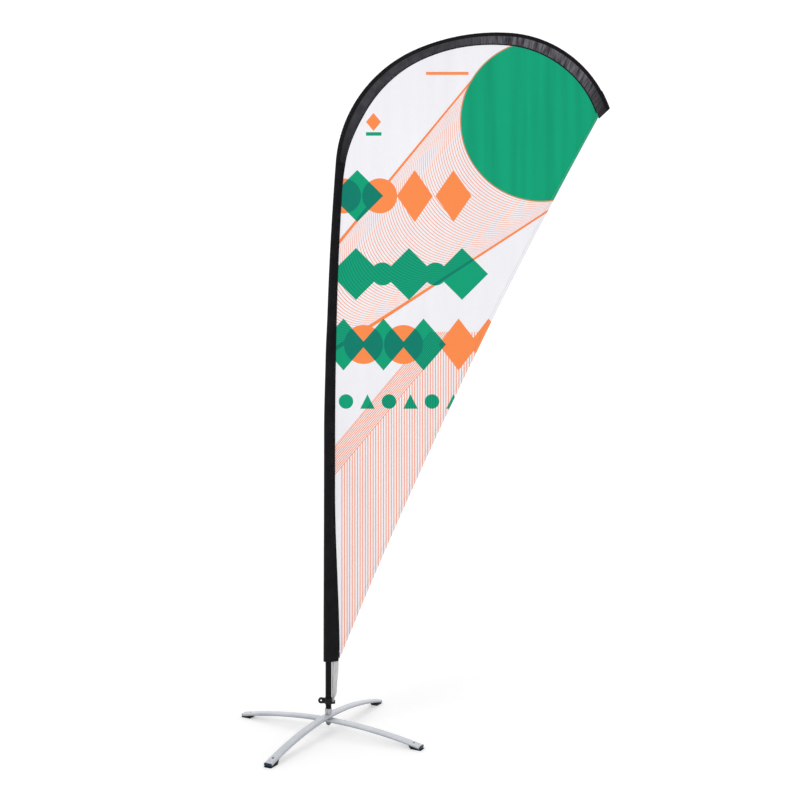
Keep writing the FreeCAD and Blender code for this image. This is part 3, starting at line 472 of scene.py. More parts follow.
def box_mask(x, z, low, high, base, top):
    """1 inside an upright rectangle."""
    return (x > low) & (x < high) & (z > base) & (z < top)


def disc_mask(x, z, across, up, radius):
    return ((x - across).squared() + (z - up).squared()) < radius * radius


def half_plane(x, z, first, second):
    """1 to the left of the line from first to second, as it is walked along."""
    (x0, z0), (x1, z1) = first, second
    return ((z - z0) * (x1 - x0) - (x - x0) * (z1 - z0)) > 0.0


def triangle_mask(x, z, corners):
    """1 inside a triangle whose corners run anticlockwise."""
    sides = [half_plane(x, z, corners[k], corners[(k + 1) % 3]) for k in range(3)]
    return sides[0] & sides[1] & sides[2]


CONE_AXIS_X, CONE_AXIS_Z = -0.745, -0.667
CONE_SHRINK = 0.150
CONE_PITCH, CONE_LINE = 0.0140, 0.0032
CONE_RIM = 0.0042


def cone_lines(x, z):
    """Fine lines: circles that shrink and slide from the disc towards the lower left.

    The circle at distance d has its centre d along the axis and a radius that is smaller
    by CONE_SHRINK * d. Solving for d at a point gives evenly spaced lines. CONE_RIM is the
    square of the distance over which the cone's two edges are solid.
    """
    across, up = x - DISC_X, z - DISC_Z
    ahead = across * CONE_AXIS_X + up * CONE_AXIS_Z
    square = across.squared() + up.squared() - DISC_R ** 2
    half = ahead - DISC_R * CONE_SHRINK
    spread = 1 - CONE_SHRINK ** 2
    inside = half.squared() - square * spread
    reach = (half - inside.root()) / spread
    line = (reach / CONE_PITCH).part() < CONE_LINE / CONE_PITCH
    field = (inside > 0.0) & (reach > 0.0) & (half > 0.0)
    rim = field & (inside < CONE_RIM)
    return (field & line) | rim


BAND_LOW, BAND_HIGH = (0.040, 1.045), (0.400, 1.475)
BAND_WIDTH = 0.075
BAND_TOP = 1.60
BAND_EDGE = 0.0022
HATCH_PITCH, HATCH_SHARE = 0.0068, 0.42
STRIPE_PITCH, STRIPE_SHARE = 0.0104, 0.31
STRIPE_START = 0.046


def band_places(x, z):
    """Distance across the slanting band, from its lower edge up to the left."""
    (x0, z0), (x1, z1) = BAND_LOW, BAND_HIGH
    length = math.hypot(x1 - x0, z1 - z0)
    return ((z - z0) * ((x1 - x0) / length) - (x - x0) * ((z1 - z0) / length))


def band_lines(x, z):
    """The slanting band of hatch lines and the upright pinstripes below it."""
    across = band_places(x, z)
    band = (across > 0.0) & (across < BAND_WIDTH) & (z < BAND_TOP)
    hatch = (across / HATCH_PITCH).part() < HATCH_SHARE
    edges = (across.size() < BAND_EDGE) | ((across - BAND_WIDTH).size() < BAND_EDGE)
    below = (across < 0.0) & (z < BAND_TOP) & (x > STRIPE_START)
    stripes = (x / STRIPE_PITCH).part() < STRIPE_SHARE
    return (band & (hatch | edges)) | (below & stripes)


def diamond_mask(x, z, across, up, half_width, half_height):
    return ((x - across).size() / half_width + (z - up).size() / half_height) < 1.0


TILE_HALF = 0.104
# Each tile: middle across, level, half width; a disc's half width is its radius.
GREEN_DIAMONDS = [
    (0.115, 2.144, 0.104),
    (0.110, 1.832, 0.104), (0.322, 1.832, 0.104), (0.534, 1.832, 0.104),
    (0.060, 1.550, 0.090), (0.220, 1.550, 0.090), (0.380, 1.550, 0.090),
]
GREEN_DISCS = [(0.004, 1.832, 0.046), (0.216, 1.832, 0.046), (0.428, 1.832, 0.046)]
ORANGE_DIAMONDS = [
    (0.345, 2.144, 0.072), (0.500, 2.144, 0.072),
    (0.520, 1.550, 0.080), (0.640, 1.550, 0.080),
]
ORANGE_DISCS = [
    (0.060, 2.144, 0.070), (0.205, 2.144, 0.070),
    (0.140, 1.550, 0.078), (0.300, 1.550, 0.078),
]


def tiles(x, z, diamonds, discs):
    """1 inside any tile of one colour."""
    shapes = [diamond_mask(x, z, across, level, half, TILE_HALF)
              for across, level, half in diamonds]
    shapes += [disc_mask(x, z, across, level, radius) for across, level, radius in discs]
    total = shapes[0]
    for shape in shapes[1:]:
        total = total | shape
    return total


MARK_COUNT, MARK_START, MARK_STEP = 6, 0.070, 0.086
MARK_LEVEL, MARK_RADIUS = 1.322, 0.029


def small_marks(x, z):
    """A row of small green shapes, and small accents near the top of the sleeve."""
    green = box_mask(x, z, 0.150, 0.212, 2.385, 2.399)
    orange = (diamond_mask(x, z, 0.180, 2.440, 0.030, 0.036)
              | box_mask(x, z, 0.390, 0.560, 2.628, 2.640))
    low, high = MARK_LEVEL - MARK_RADIUS, MARK_LEVEL + MARK_RADIUS
    for k in range(MARK_COUNT):
        middle = MARK_START + MARK_STEP * k
        if k % 2:
            shape = triangle_mask(x, z, [(middle - MARK_RADIUS, low),
                                         (middle + MARK_RADIUS, low), (middle, high)])
        else:
            shape = disc_mask(x, z, middle, MARK_LEVEL, MARK_RADIUS)
        green = green | shape
    return green, orange


def printed_cloth():
    """White knitted polyester with the printed composition in green and orange, and painted
    fold shade on the green disc.
    """
    material, tree, shader = new_material("printed_cloth", GROUND, 0.72)
    x, _, z = split_place(tree)
    tone = noise(tree, 1.0, 3.0, (16.0, 16.0, 1.6))
    fine = noise(tree, 260.0, 2.0)

    ground = mix(tree, ramp(tree, tone, 0.3, 0.7), (0.880, 0.875, 0.925), (0.935, 0.930, 0.965))
    lines = cone_lines(x, z) | band_lines(x, z)
    color = mix(tree, lines, ground, ORANGE)
    marks_green, marks_orange = small_marks(x, z)
    orange = tiles(x, z, ORANGE_DIAMONDS, ORANGE_DISCS) | marks_orange
    color = mix(tree, orange, color, TILE_ORANGE)
    green = tiles(x, z, GREEN_DIAMONDS, GREEN_DISCS) | marks_green
    color = mix(tree, green, color, GREEN)
    color = mix(tree, green & (orange | lines), color, DEEP_GREEN)

    disc = disc_mask(x, z, DISC_X, DISC_Z, DISC_R)
    rim = disc_mask(x, z, DISC_X, DISC_Z, DISC_R + RIM_WIDTH)
    color = mix(tree, rim, color, RIM_ORANGE)
    # Painted shade: soft darker upright streaks across the green disc stand in for the shade of
    # shallow folds.
    painted_fold_shade = ramp(tree, noise(tree, 1.0, 2.0, (22.0, 22.0, 0.9)), 0.40, 0.72)
    disc_ink_with_fold_shade = mix(tree, painted_fold_shade, (0.004, 0.385, 0.196), (0.003, 0.325, 0.165))
    color = mix(tree, disc, color, disc_ink_with_fold_shade)

    dim = mix(tree, ramp(tree, fine, 0.35, 0.75), (0.955, 0.955, 0.955), (1.0, 1.0, 1.0))
    worn = tree.nodes.new("ShaderNodeMix")
    worn.data_type = "RGBA"
    worn.blend_type = "MULTIPLY"
    worn.inputs[0].default_value = 1.0
    tree.links.new(color, worn.inputs[6])
    tree.links.new(dim, worn.inputs[7])
    tree.links.new(worn.outputs[2], shader.inputs["Base Color"])
    roughen(tree, shader, fine, 0.62, 0.82)
    shader.inputs["Specular IOR Level"].default_value = 0.12
    bump(tree, shader, weave_height(tree, 0.0012) + fine * 0.8, 0.00015, 0.4)
    return material


def thread(name, color):
    """Sewing thread, with painted shade in the turns of its twist: darker in small patches."""
    material, tree, shader = new_material(name, color, 0.6)
    twist = noise(tree, 1500.0, 1.0)
    darker = tuple(c * 0.6 for c in color)
    # Painted shade: the thread is darker in small patches, for the turns of its twist.
    tree.links.new(mix(tree, ramp(tree, twist, 0.3, 0.7), darker, color),
                   shader.inputs["Base Color"])
    bump(tree, shader, twist, 0.0001, 0.5)
    return material


POWDER = powder_coat()
CAP = moulded_plastic("cap_plastic", (0.002, 0.022, 0.042), 0.34, 0.25)
RUBBER = rubber()
ZINC = zinc_plate("zinc_plate", (0.66, 0.67, 0.70), (0.50, 0.51, 0.53))
DULL_STEEL = zinc_plate("dull_steel", (0.20, 0.21, 0.20), (0.11, 0.12, 0.11))
HOUSING = turned_metal("housing_metal", (0.50, 0.51, 0.52), 0.30)
BEARING = turned_metal("bearing_steel", (0.78, 0.79, 0.80), 0.14, 1.0, 900.0)
SPINDLE = turned_metal("spindle_steel", (0.60, 0.61, 0.63), 0.26)
ANODISED = turned_metal("black_anodised", (0.010, 0.010, 0.011), 0.34, 0.9, 500.0)
GLASSFIBRE = moulded_plastic("black_glassfibre", (0.004, 0.004, 0.005), 0.40, 0.16)
BLACK_PLASTIC = moulded_plastic("black_plastic", (0.004, 0.005, 0.005), 0.42, 0.20)
CAGE = moulded_plastic("cage_plastic", (0.30, 0.19, 0.08), 0.45)
ACETAL = moulded_plastic("acetal", (0.78, 0.78, 0.75), 0.40)
SLEEVE_CLOTH = black_cloth("sleeve_cloth", (0.0038, 0.0038, 0.0052), 0.05)
PAINTED_SHEEN_CLOTH = painted_sheen_satin()
POCKET_CLOTH = black_cloth("pocket_cloth", (0.0030, 0.0030, 0.0042), 0.04, 0.0018)
FLAG_CLOTH = printed_cloth()
HEM_CLOTH = printed_cloth()
HEM_CLOTH.name = "printed_hem_cloth"
WEBBING = elastic_webbing()
BLACK_THREAD = thread("black_thread", (0.020, 0.020, 0.024))
WHITE_THREAD = thread("white_thread", (0.66, 0.65, 0.70))

NODE_MATERIALS = {
    "leg_bar": POWDER, "bar_cap": CAP, "foot_pad": RUBBER, "foot_screws": ZINC,
    "pivot_washer": DULL_STEEL, "bar_spacer": ACETAL, "pivot_bolt": DULL_STEEL,
    "lock_nut": DULL_STEEL,
    "bearing_housing": HOUSING, "grub_screw": ZINC, "bearing_cage": CAGE,
    "bearing_": BEARING, "upper_bush": ACETAL, "rotor_spindle": SPINDLE,
    "rotor_collar": ANODISED, "circlip": ZINC, "pole_bottom_section": ANODISED,
    "pole_tip_cap": BLACK_PLASTIC, "pole_middle": GLASSFIBRE, "pole_upper": GLASSFIBRE,
    "pole_tip": GLASSFIBRE, "stop_ring": BLACK_PLASTIC, "hook_collar": BLACK_PLASTIC,
    "sleeve": SLEEVE_CLOTH, "tip_pocket": POCKET_CLOTH, "flag_panel": FLAG_CLOTH,
    "free_edge_hem": FLAG_CLOTH, "tension_strap": WEBBING,
}


def paint_cad_nodes():
    """Every CAD node takes the material of the first listed word that its name holds."""
    for name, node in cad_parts.items():
        word = next(word for word in NODE_MATERIALS if word in name)
        node.data.materials.clear()
        node.data.materials.append(NODE_MATERIALS[word])


paint_cad_nodes()

# ---------------------------------------------------------------- mesh helpers


def new_object(name, verts, faces, material):
    mesh = bpy.data.meshes.new(name)
    mesh.from_pydata([tuple(v) for v in verts], [], faces)
    mesh.validate()
    mesh.update()
    item = bpy.data.objects.new(name, mesh)
    bpy.context.scene.collection.objects.link(item)
    mesh.materials.append(material)
    mesh.polygons.foreach_set("use_smooth", [True] * len(mesh.polygons))
    return item


def grid_faces(rows, columns):
    """Quads between neighbouring points of a grid that is stored row by row."""
    faces = []
    for r in range(rows - 1):
        for c in range(columns - 1):
            here = r * columns + c
            faces.append((here, here + 1, here + columns + 1, here + columns))
    return faces


def mesh_area(item):
    return sum(face.area for face in item.data.polygons)


def apply_modifiers(item):
    graph = bpy.context.evaluated_depsgraph_get()
    mesh = bpy.data.meshes.new_from_object(item.evaluated_get(graph))
    item.modifiers.clear()
    old = item.data
    item.data = mesh
    bpy.data.meshes.remove(old)


def thicken(item, thickness):
    """Cloth of a given thickness, half on each side of the mesh."""
    solid = item.modifiers.new("thickness", "SOLIDIFY")
    solid.thickness = thickness
    solid.offset = 0.0
    solid.use_even_offset = True
    apply_modifiers(item)


def merge_close(item, distance):
    work = bmesh.new()
    work.from_mesh(item.data)
    bmesh.ops.remove_doubles(work, verts=work.verts, dist=distance)
    bmesh.ops.dissolve_degenerate(work, edges=work.edges, dist=distance / 10)
    work.to_mesh(item.data)
    work.free()
    item.data.update()


def soft_wave(value, seed):
    """A smooth repeatable ripple between about -1 and 1, from five sines."""
    total = 0.0
    for k in range(5):
        rate = 1.0 + 1.7 * k + 0.37 * ((seed * 7 + k * 3) % 5)
        phase = (seed * 1.3 + k * 2.1) % 6.28
        total += math.sin(value * rate + phase) / (1 + 0.6 * k)
    return total / 2.2


# ---------------------------------------------------------------- sleeve

RADIUS_STATIONS = [(SLEEVE_START, 0.0200), (STRAIGHT, 0.0180), (STRAIGHT + 0.30, 0.0148),
                   (STRAIGHT + 0.48, 0.0120), (RUNS[BEND][0] + 0.12, 0.0098),
                   (RUNS[CROWN][0], 0.0085), (LINE_END, 0.0080)]
PUCKER_WIDTH, PUCKER_SLANT, PUCKER_HEIGHT = 0.0038, 0.03, 0.0016
CHANNEL_PUCKER = 0.0002
FAR_SIDE_SHIFT = 0.004
RIPPLE_HEIGHT, RIPPLE_RATE = 0.0011, 9.0
SLEEVE_THICK = 0.0006
SEAM_HALF = 0.0009
FLAT_CHANNEL = 0.0034


def scattered_puckers():
    """Gathered ribs over the crown: place along the pole, height and slant of each."""
    puckers = []
    along = RUNS[CROWN][0] + 0.16
    while along < LINE_END - 0.02:
        puckers.append((along, random.uniform(0.35, 1.0), random.uniform(-0.35, 0.35)))
        along += random.uniform(0.007, 0.017)
    return puckers


PUCKERS = scattered_puckers()


def pucker(along, share):
    """Height of the gathered ribs across the sleeve, where the pole bends it most."""
    height = 0.0
    for centre, tall, slant in PUCKERS:
        away = (along - centre - slant * share * PUCKER_SLANT) / PUCKER_WIDTH
        if abs(away) < 3:
            height += tall * math.exp(-away * away)
    return height


SKIN_COLUMNS = 44
WEB_COLUMNS = 11


def sleeve_section(along, extra=0.0, squeeze=0.0, slide=0.0, ribs=1.0):
    """One loop of the sleeve: out from the seam, round the pole and back.

    extra wraps it outside another piece, squeeze flattens the pole's channel and slide moves
    the seam's side forward along the line.
    """
    point, forward, inward = line_frame(along)
    full = eased(RADIUS_STATIONS, along) + extra
    radius = full + (FLAT_CHANNEL - full) * squeeze
    width = seam_offset(along)
    back = full - radius
    side = Vector((0, 1, 0))
    touch = math.acos(min(0.999, radius / (width + back)))
    contact = inward * (radius * math.cos(touch) - back) + side * (radius * math.sin(touch))
    edge = inward * width + side * (SEAM_HALF + extra)
    ribs *= 1 - squeeze
    ripple = RIPPLE_HEIGHT * soft_wave(along * RIPPLE_RATE, 3) * ribs

    def moved(where, out, lift):
        share = max(0.0, where.dot(inward) + full) / (width + full)
        return point + where + out * lift + forward * (slide * share)

    def web_lift(where, share, wave):
        bulge = math.sin(math.pi * share)
        rib = PUCKER_HEIGHT * ribs * pucker(where, share) * bulge ** 0.5
        return rib + wave * bulge * 0.6

    places = []
    for k in range(WEB_COLUMNS):
        share = k / WEB_COLUMNS
        places.append(moved(edge.lerp(contact, share), side, web_lift(along, share, ripple)))
    turn = SKIN_COLUMNS - 2 * WEB_COLUMNS
    channel_lift = CHANNEL_PUCKER * ribs * pucker(along, 1.0)
    for k in range(turn + 1):
        angle = touch + (2 * math.pi - 2 * touch) * k / turn
        out = inward * math.cos(angle) + side * math.sin(angle)
        places.append(moved(out * radius - inward * back, out, channel_lift))
    for k in range(WEB_COLUMNS):
        share = 1 - (k + 1) / WEB_COLUMNS
        near = edge.lerp(contact, share)
        mirrored = Vector((near.x, -near.y, near.z))
        places.append(moved(mirrored, -side,
                            web_lift(along + FAR_SIDE_SHIFT, share, -ripple)))
    return places


def hoop(along, lift):
    """A closed path round the sleeve, just off its cloth, with the side it faces."""
    centre = line_frame(along)[0]
    path = []
    for column, place in enumerate(sleeve_section(along, lift)):
        if column < WEB_COLUMNS:
            side = Vector((0, 1, 0))
        elif column > SKIN_COLUMNS - WEB_COLUMNS:
            side = Vector((0, -1, 0))
        else:
            side = (place - centre).normalized()
        path.append((place, side))
    return path


def loop_length(places):
    return sum((b - a).length for a, b in zip(places, places[1:]))


def skin_from(name, loops, material):
    """A skin through open loops of points, and the flat area of the cloth it takes."""
    verts = [place for loop in loops for place in loop]
    item = new_object(name, verts, grid_faces(len(loops), len(loops[0])), material)
    return item, mesh_area(item)


def painted_sheen_web(item, material):
    """The web's faces, on both sides of the pole's channel, take the second material, the one
    with the painted sheen.
    """
    item.data.materials.append(material)
    for face in item.data.polygons:
        column = face.index % SKIN_COLUMNS
        if min(column, SKIN_COLUMNS - 1 - column) < WEB_COLUMNS - 2:
            face.material_index = 1


HEM_ROW_HEIGHTS = (0.0045, 0.0165)


def make_sleeve():
    """The sleeve's three lengths, with two rows of stitches round its open foot."""
    parts = [
        ("sleeve_lower", SLEEVE_START, STRAIGHT, 0.010, "pole_sleeve_lower",
         "pole_bottom_section"),
        ("sleeve_middle", STRAIGHT, RUNS[BEND][0], 0.010, "pole_sleeve_middle",
         "pole_middle_section"),
        ("sleeve_upper", RUNS[BEND][0], POCKET_START, 0.0025, "pole_sleeve_upper",
         "pole_upper_section"),
    ]
    for name, low, high, step, node, pole in parts:
        rows = int((high - low) / step)
        loops = [sleeve_section(low + (high - low) * r / rows) for r in range(rows + 1)]
        item, area = skin_from(name, loops, SLEEVE_CLOTH)
        if name == "sleeve_upper":
            painted_sheen_web(item, PAINTED_SHEEN_CLOTH)
        thicken(item, SLEEVE_THICK)
        width = max(loop_length(loop) for loop in loops)
        dress(item, "flag", "sleeve_cloth", node)
        sewn = []
        if name == "sleeve_lower":
            hem_rows = [hoop(low + height, SLEEVE_THICK) for height in HEM_ROW_HEIGHTS]
            sewn = [stitches("sleeve_hem_stitches", hem_rows, BLACK_THREAD, 0.00042)]
            dress(sewn[0], "flag", "sleeve_cloth")
        high - low


POCKET_THICK = 0.0009
POCKET_OVERLAP = 0.003
POCKET_EXTRA = 0.0017
POCKET_SLANT = 0.024
POCKET_OPEN_SHARE = 0.80


def make_pocket():
    """The tip's reinforced pocket: it wraps over the sleeve's end and closes flat."""
    low, high = POCKET_START - POCKET_OVERLAP, LINE_END + POCKET_OVERLAP
    rows = 44
    loops = []
    for r in range(rows + 1):
        share = r / rows
        close = max(0.0, (share - POCKET_OPEN_SHARE) / (1 - POCKET_OPEN_SHARE))
        loops.append(sleeve_section(low + (high - low) * share, POCKET_EXTRA,
                                    close * close * 0.9, POCKET_SLANT * share * share, 0.25))
    item, area = skin_from("tip_pocket_cloth", loops, POCKET_CLOTH)
    painted_sheen_web(item, PAINTED_SHEEN_CLOTH)
    thicken(item, POCKET_THICK)
    width = max(loop_length(loop) for loop in loops)
    dress(item, "flag", "pocket_cloth", "tip_pocket")
    rails = [rail(loops, column, 0.0012) for column in (2, 5, SKIN_COLUMNS - 2)]
    threads = stitches("pocket_stitches", rails, BLACK_THREAD, 0.00045)
    dress(threads, "flag", "pocket_cloth")
    high - low + POCKET_SLANT


def rail(loops, column, lift):
    """The path along one column of a skin, with the side it faces, lifted off it."""
    turn = 1 if column < SKIN_COLUMNS / 2 else -1
    side = Vector((0, turn, 0))
    return [(loop[column] + side * lift, side) for loop in loops[2:-2]]


def dress(item, body, slot, *nodes):
    """The piece rides on a body and stands for CAD nodes, which it hides; the slot is not used.
    """
    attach(item, body)
    if nodes:
        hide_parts(*nodes)


# ---------------------------------------------------------------- stitches


STITCH_LENGTH = 0.0030
STITCH_PITCH = 0.0046


def stitches(name, rails, material, radius):
    """Rows of short thread loops laid end to end along rails of (point, facing side)."""
    verts, faces = [], []
    for path in rails:
        carried = 0.0
        for (first, side), (second, _) in zip(path, path[1:]):
            step = second - first
            reach = step.length
            if reach < 1e-6:
                continue
            forward = step / reach
            across = forward.cross(side).normalized()
            while carried < reach:
                add_stitch(verts, faces, first + forward * carried, forward, side, across,
                           radius)
                carried += STITCH_PITCH
            carried -= reach
    return new_object(name, verts, faces, material)


def add_stitch(verts, faces, centre, forward, side, across, radius):
    """One stitch: a thread that rises out of the cloth, lies on it and dips back in."""
    base = len(verts)
    around = 6
    for place, sink, thick in ((-0.5, 1.0, 0.5), (-0.3, 0.15, 1.0), (0.3, 0.15, 1.0),
                               (0.5, 1.0, 0.5)):
        middle = centre + forward * (place * STITCH_LENGTH) - side * (sink * radius)
        for k in range(around):
            angle = 2 * math.pi * k / around
            verts.append(middle + (side * math.cos(angle) + across * math.sin(angle))
                         * (radius * thick))
    for r in range(3):
        for k in range(around):
            after = (k + 1) % around
            faces.append((base + r * around + k, base + r * around + after,
                          base + (r + 1) * around + after, base + (r + 1) * around + k))
    faces.append(tuple(base + k for k in reversed(range(around))))
    faces.append(tuple(base + 3 * around + k for k in range(around)))


# ---------------------------------------------------------------- panel, binding and hem

TUCK = 0.006
PANEL_THICK = 0.0007
HEM_THICK = 0.0005
HEM_WIDTH = 0.014
HEM_HALF = PANEL_THICK / 2 + 0.00045
HEM_INSETS = [HEM_WIDTH, 0.0115, 0.0090, 0.0065, 0.0040, 0.0018, 0.0004]
HEM_STITCH_INSETS = (0.0030, 0.0118)
PANEL_THREAD = 0.00038
BINDING_THICK = 0.0004
BINDING_LIFT = 0.00080
BINDING_PLACES = (0.0003, 0.0020, 0.0038, 0.0050)
BINDING_STITCH_PLACE, BINDING_STITCH_LIFT = 0.0028, 0.00110


def seam_along(share):
    return SLEEVE_START + (SEAM_END - SLEEVE_START) * share


def relief(share, across):
    """How far the cloth stands off its plane: shallow folds that fan out of the foot."""
    pull = math.sin(math.pi * min(1.0, share * 1.02)) ** 0.7
    folds = 0.0030 * math.sin(2 * math.pi * (1.6 * across + 0.55 * share) + 0.6)
    folds += 0.0013 * math.sin(2 * math.pi * (3.7 * across - 0.9 * share) + 2.0)
    slack = 0.0020 * soft_wave(share * 7.0, 5) * across * across
    return pull * (folds * math.sin(math.pi * across) + slack)


def panel_place(share, across):
    """A point of the cloth's mid surface: across runs from the seam to the free edge."""
    seam = seam_point(seam_along(share))
    edge = free_edge_point(share)
    where = seam.lerp(edge, across)
    return Vector((where.x, relief(share, max(0.0, across)), where.z))


def panel_width(share):
    return (free_edge_point(share) - seam_point(seam_along(share))).length


def panel_span(rows=300):
    """Width and length of the plain rectangle that the panel is cut from."""
    along = (FLAG_TOP - FLAG_FOOT).normalized()
    aside = Vector((along.z, 0, -along.x))
    rim = [seam_point(seam_along(r / rows)) for r in range(rows + 1)]
    rim += [free_edge_point(r / rows) for r in range(rows + 1)]
    wide = [point.dot(aside) for point in rim]
    long = [point.dot(along) for point in rim]
    return max(wide) - min(wide) + TUCK, max(long) - min(long) + TUCK


def make_panel():
    """The printed cloth, tucked into the seam; returns it with its cloth area."""
    rows, columns = 300, 70
    verts = []
    for r in range(rows + 1):
        share = r / rows
        seam = seam_point(seam_along(share))
        inward = line_frame(seam_along(share))[2]
        verts.append(seam - inward * TUCK)
        verts += [panel_place(share, c / columns) for c in range(columns + 1)]
    item = new_object("flag_cloth", verts, grid_faces(rows + 1, columns + 2), FLAG_CLOTH)
    merge_close(item, 2e-4)
    area = mesh_area(item)
    thicken(item, PANEL_THICK)
    dress(item, "flag", "flag_cloth", "flag_panel")
    return item, area


def hem_column(share, inset, side):
    """A point of the hem's band, inset from the free edge, on one side of the cloth."""
    across = 1 - inset / panel_width(share)
    return panel_place(share, across) + Vector((0, side, 0))


def make_hem():
    """A band folded round the free edge, and its two rows of stitches on each side."""
    shares = [k / 800 for k in range(801)]
    shares = [s for s in shares if panel_width(s) > HEM_WIDTH + 0.004]
    verts = []
    for share in shares:
        seam, edge = seam_point(seam_along(share)), free_edge_point(share)
        out = (edge - seam).normalized()
        verts += [hem_column(share, inset, HEM_HALF) for inset in HEM_INSETS]
        for angle in (45, 0, -45):
            turn = math.radians(angle)
            verts.append(panel_place(share, 1.0) + out * (HEM_HALF * math.cos(turn))
                         + Vector((0, HEM_HALF * math.sin(turn), 0)))
        verts += [hem_column(share, inset, -HEM_HALF) for inset in reversed(HEM_INSETS)]
    count = 2 * len(HEM_INSETS) + 3
    item = new_object("free_edge_hem_band", verts, grid_faces(len(shares), count), HEM_CLOTH)
    thicken(item, HEM_THICK)
    dress(item, "flag", "hem_cloth", "free_edge_hem")
    rails = []
    for inset in HEM_STITCH_INSETS:
        for turn in (1, -1):
            side = Vector((0, turn, 0))
            rails.append([(hem_column(share, inset, turn * (HEM_HALF + 0.00030)), side)
                          for share in shares])
    threads = stitches("hem_stitches", rails, WHITE_THREAD, PANEL_THREAD)
    dress(threads, "flag", "hem_cloth")
    return item, threads


def make_binding():
    """A narrow black tape each side of the seam, sewn through sleeve and panel."""
    rows = 420
    strips = []
    rails = []
    for turn in (1, -1):
        verts = []
        path = []
        for r in range(rows + 1):
            share = 0.004 + 0.990 * r / rows
            seam = seam_point(seam_along(share))
            inward = line_frame(seam_along(share))[2]
            for off in BINDING_PLACES:
                verts.append(seam + inward * off + Vector((0, turn * BINDING_LIFT, 0)))
            side = Vector((0, turn, 0))
            path.append((seam + inward * BINDING_STITCH_PLACE + side * BINDING_STITCH_LIFT,
                         side))
        strip = new_object("seam_binding_%s" % "ab"[turn < 0], verts,
                           grid_faces(rows + 1, len(BINDING_PLACES)), SLEEVE_CLOTH)
        thicken(strip, BINDING_THICK)
        dress(strip, "flag", "sleeve_cloth")
        strips.append(strip)
        rails.append(path)
    threads = stitches("seam_stitches", rails, BLACK_THREAD, PANEL_THREAD)
    dress(threads, "flag", "sleeve_cloth")
    return strips + [threads]


# ---------------------------------------------------------------- tension strap

STRAP_WIDTH = 0.034
STRAP_FOLDS = 2.5
STRAP_THICK = 0.0006
STRAP_HIDDEN = 0.014
HOOK_LIP = 0.0066


def folded_width(width, height):
    """Length of the strap's folded section at a width and fold height."""
    count = 60
    places = [(width * k / count, height * math.sin(2 * math.pi * STRAP_FOLDS * k / count))
              for k in range(count + 1)]
    return sum(math.dist(a, b) for a, b in zip(places, places[1:]))


def fold_height(width):
    low, high = 0.0, 0.010
    for _ in range(30):
        middle = (low + high) / 2
        if folded_width(width, middle) < STRAP_WIDTH:
            low = middle
        else:
            high = middle
    return low


def make_strap():
    """Elastic webbing gathered into the hook, opening out as it runs up into the sleeve."""
    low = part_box("hook_collar")[0].z + HOOK_LIP
    high = FOOT + SLEEVE_START + STRAP_HIDDEN
    left = [(0.0, 0.0162), (0.16, 0.0142), (1.0, 0.0138)]
    right = [(0.0, 0.0228), (0.05, 0.0230), (0.22, 0.0325), (0.88, 0.0405), (0.96, 0.0370)]
    rows, columns = 80, 48
    verts = []
    for r in range(rows + 1):
        share = r / rows
        near, far = eased(left, share), eased(right, share)
        height = fold_height(far - near)
        for c in range(columns + 1):
            place = c / columns
            turn = 2 * math.pi * STRAP_FOLDS * place
            drift = 0.6 * math.sin(3.1 * share + 4 * place)
            slack = 1 - 0.75 * place * min(1.0, share * share * 1.3)
            verts.append((near + (far - near) * place, height * slack * math.sin(turn + drift),
                          low + (high - low) * share))
    item = new_object("strap_webbing", verts, grid_faces(rows + 1, columns + 1), WEBBING)
    thicken(item, STRAP_THICK)
    dress(item, "flag", "strap_elastic", "tension_strap")


# ---------------------------------------------------------------- camera, light, floor


def make_camera():
    data = bpy.data.cameras.new("camera")
    data.lens = 42.8
    data.sensor_width = 36.0
    data.clip_end = 100
    camera = bpy.data.objects.new("camera", data)
    bpy.context.scene.collection.objects.link(camera)
    camera.location = (0.286, -3.804, 1.328)
    camera.rotation_euler = (math.radians(90), 0, 0)
    bpy.context.scene.camera = camera


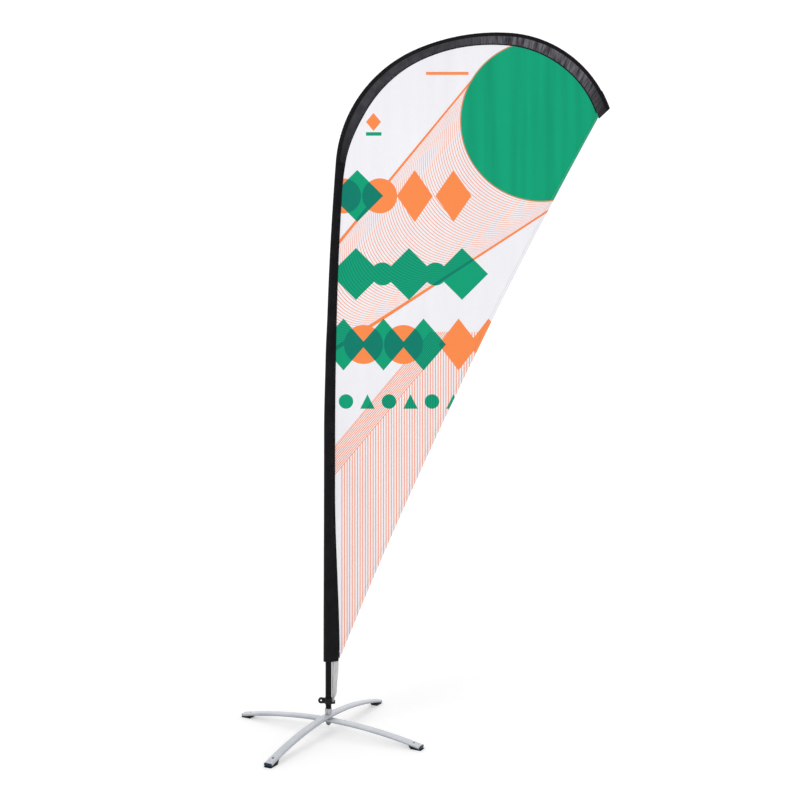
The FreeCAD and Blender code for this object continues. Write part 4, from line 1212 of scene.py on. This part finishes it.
def area_light(name, location, target, size, power):
    data = bpy.data.lights.new(name, "AREA")
    data.shape = "RECTANGLE"
    data.size, data.size_y = size
    data.energy = power
    light = bpy.data.objects.new(name, data)
    bpy.context.scene.collection.objects.link(light)
    light.location = location
    light.visible_camera = False
    aim = Vector(target) - Vector(location)
    light.rotation_euler = aim.to_track_quat("-Z", "Y").to_euler()


def backdrop_material():
    """Pale seamless paper, lit evenly from behind as well as by the lamps."""
    material, tree, shader = new_material("backdrop_paper", (0.80, 0.80, 0.80), 0.9)
    grain = noise(tree, 3.0, 2.0)
    tree.links.new(mix(tree, grain, (0.79, 0.79, 0.79), (0.81, 0.81, 0.81)),
                   shader.inputs["Base Color"])
    x, y, z = split_place(tree)
    away = ramp(tree, (x.squared() + y.squared() + z.squared()).root(), 0.5, 2.6)
    tree.links.new(mix(tree, away, (0.72, 0.72, 0.72), (1, 1, 1)),
                   shader.inputs["Emission Color"])
    shader.inputs["Emission Strength"].default_value = 0.46
    return material


def make_stage():
    """A sheet of paper that runs from the floor up the wall in one curve."""
    bend, reach, tall = 3.0, 6.0, 14.0
    profile = [(-12.0, 0.0), (reach, 0.0)]
    for k in range(1, 17):
        angle = math.radians(90 * k / 16)
        profile.append((reach + bend * math.sin(angle), bend * (1 - math.cos(angle))))
    profile.append((reach + bend, tall))
    verts = [(x, y, z) for x in (-16.0, 16.0) for y, z in profile]
    count = len(profile)
    faces = [(k, k + count, k + count + 1, k + 1) for k in range(count - 1)]
    new_object("backdrop", verts, faces, backdrop_material())
    world = bpy.data.worlds.new("studio")
    world.use_nodes = True
    world.node_tree.nodes["Background"].inputs["Color"].default_value = (1, 1, 1, 1)
    world.node_tree.nodes["Background"].inputs["Strength"].default_value = 0.62
    bpy.context.scene.world = world
    area_light("key", (-2.6, -3.4, 4.2), (0.4, 0, 1.4), (2.2, 2.2), 62)
    area_light("fill", (3.4, -2.6, 2.4), (0.4, 0, 1.2), (2.2, 2.8), 14)


make_camera()
make_stage()
bpy.context.scene.view_settings.view_transform = "Standard"

# ---------------------------------------------------------------- build the soft goods

make_sleeve()
make_pocket()
make_strap()
panel, panel_area = make_panel()
hem, hem_threads = make_hem()
seam_pieces = make_binding()
panel_span()
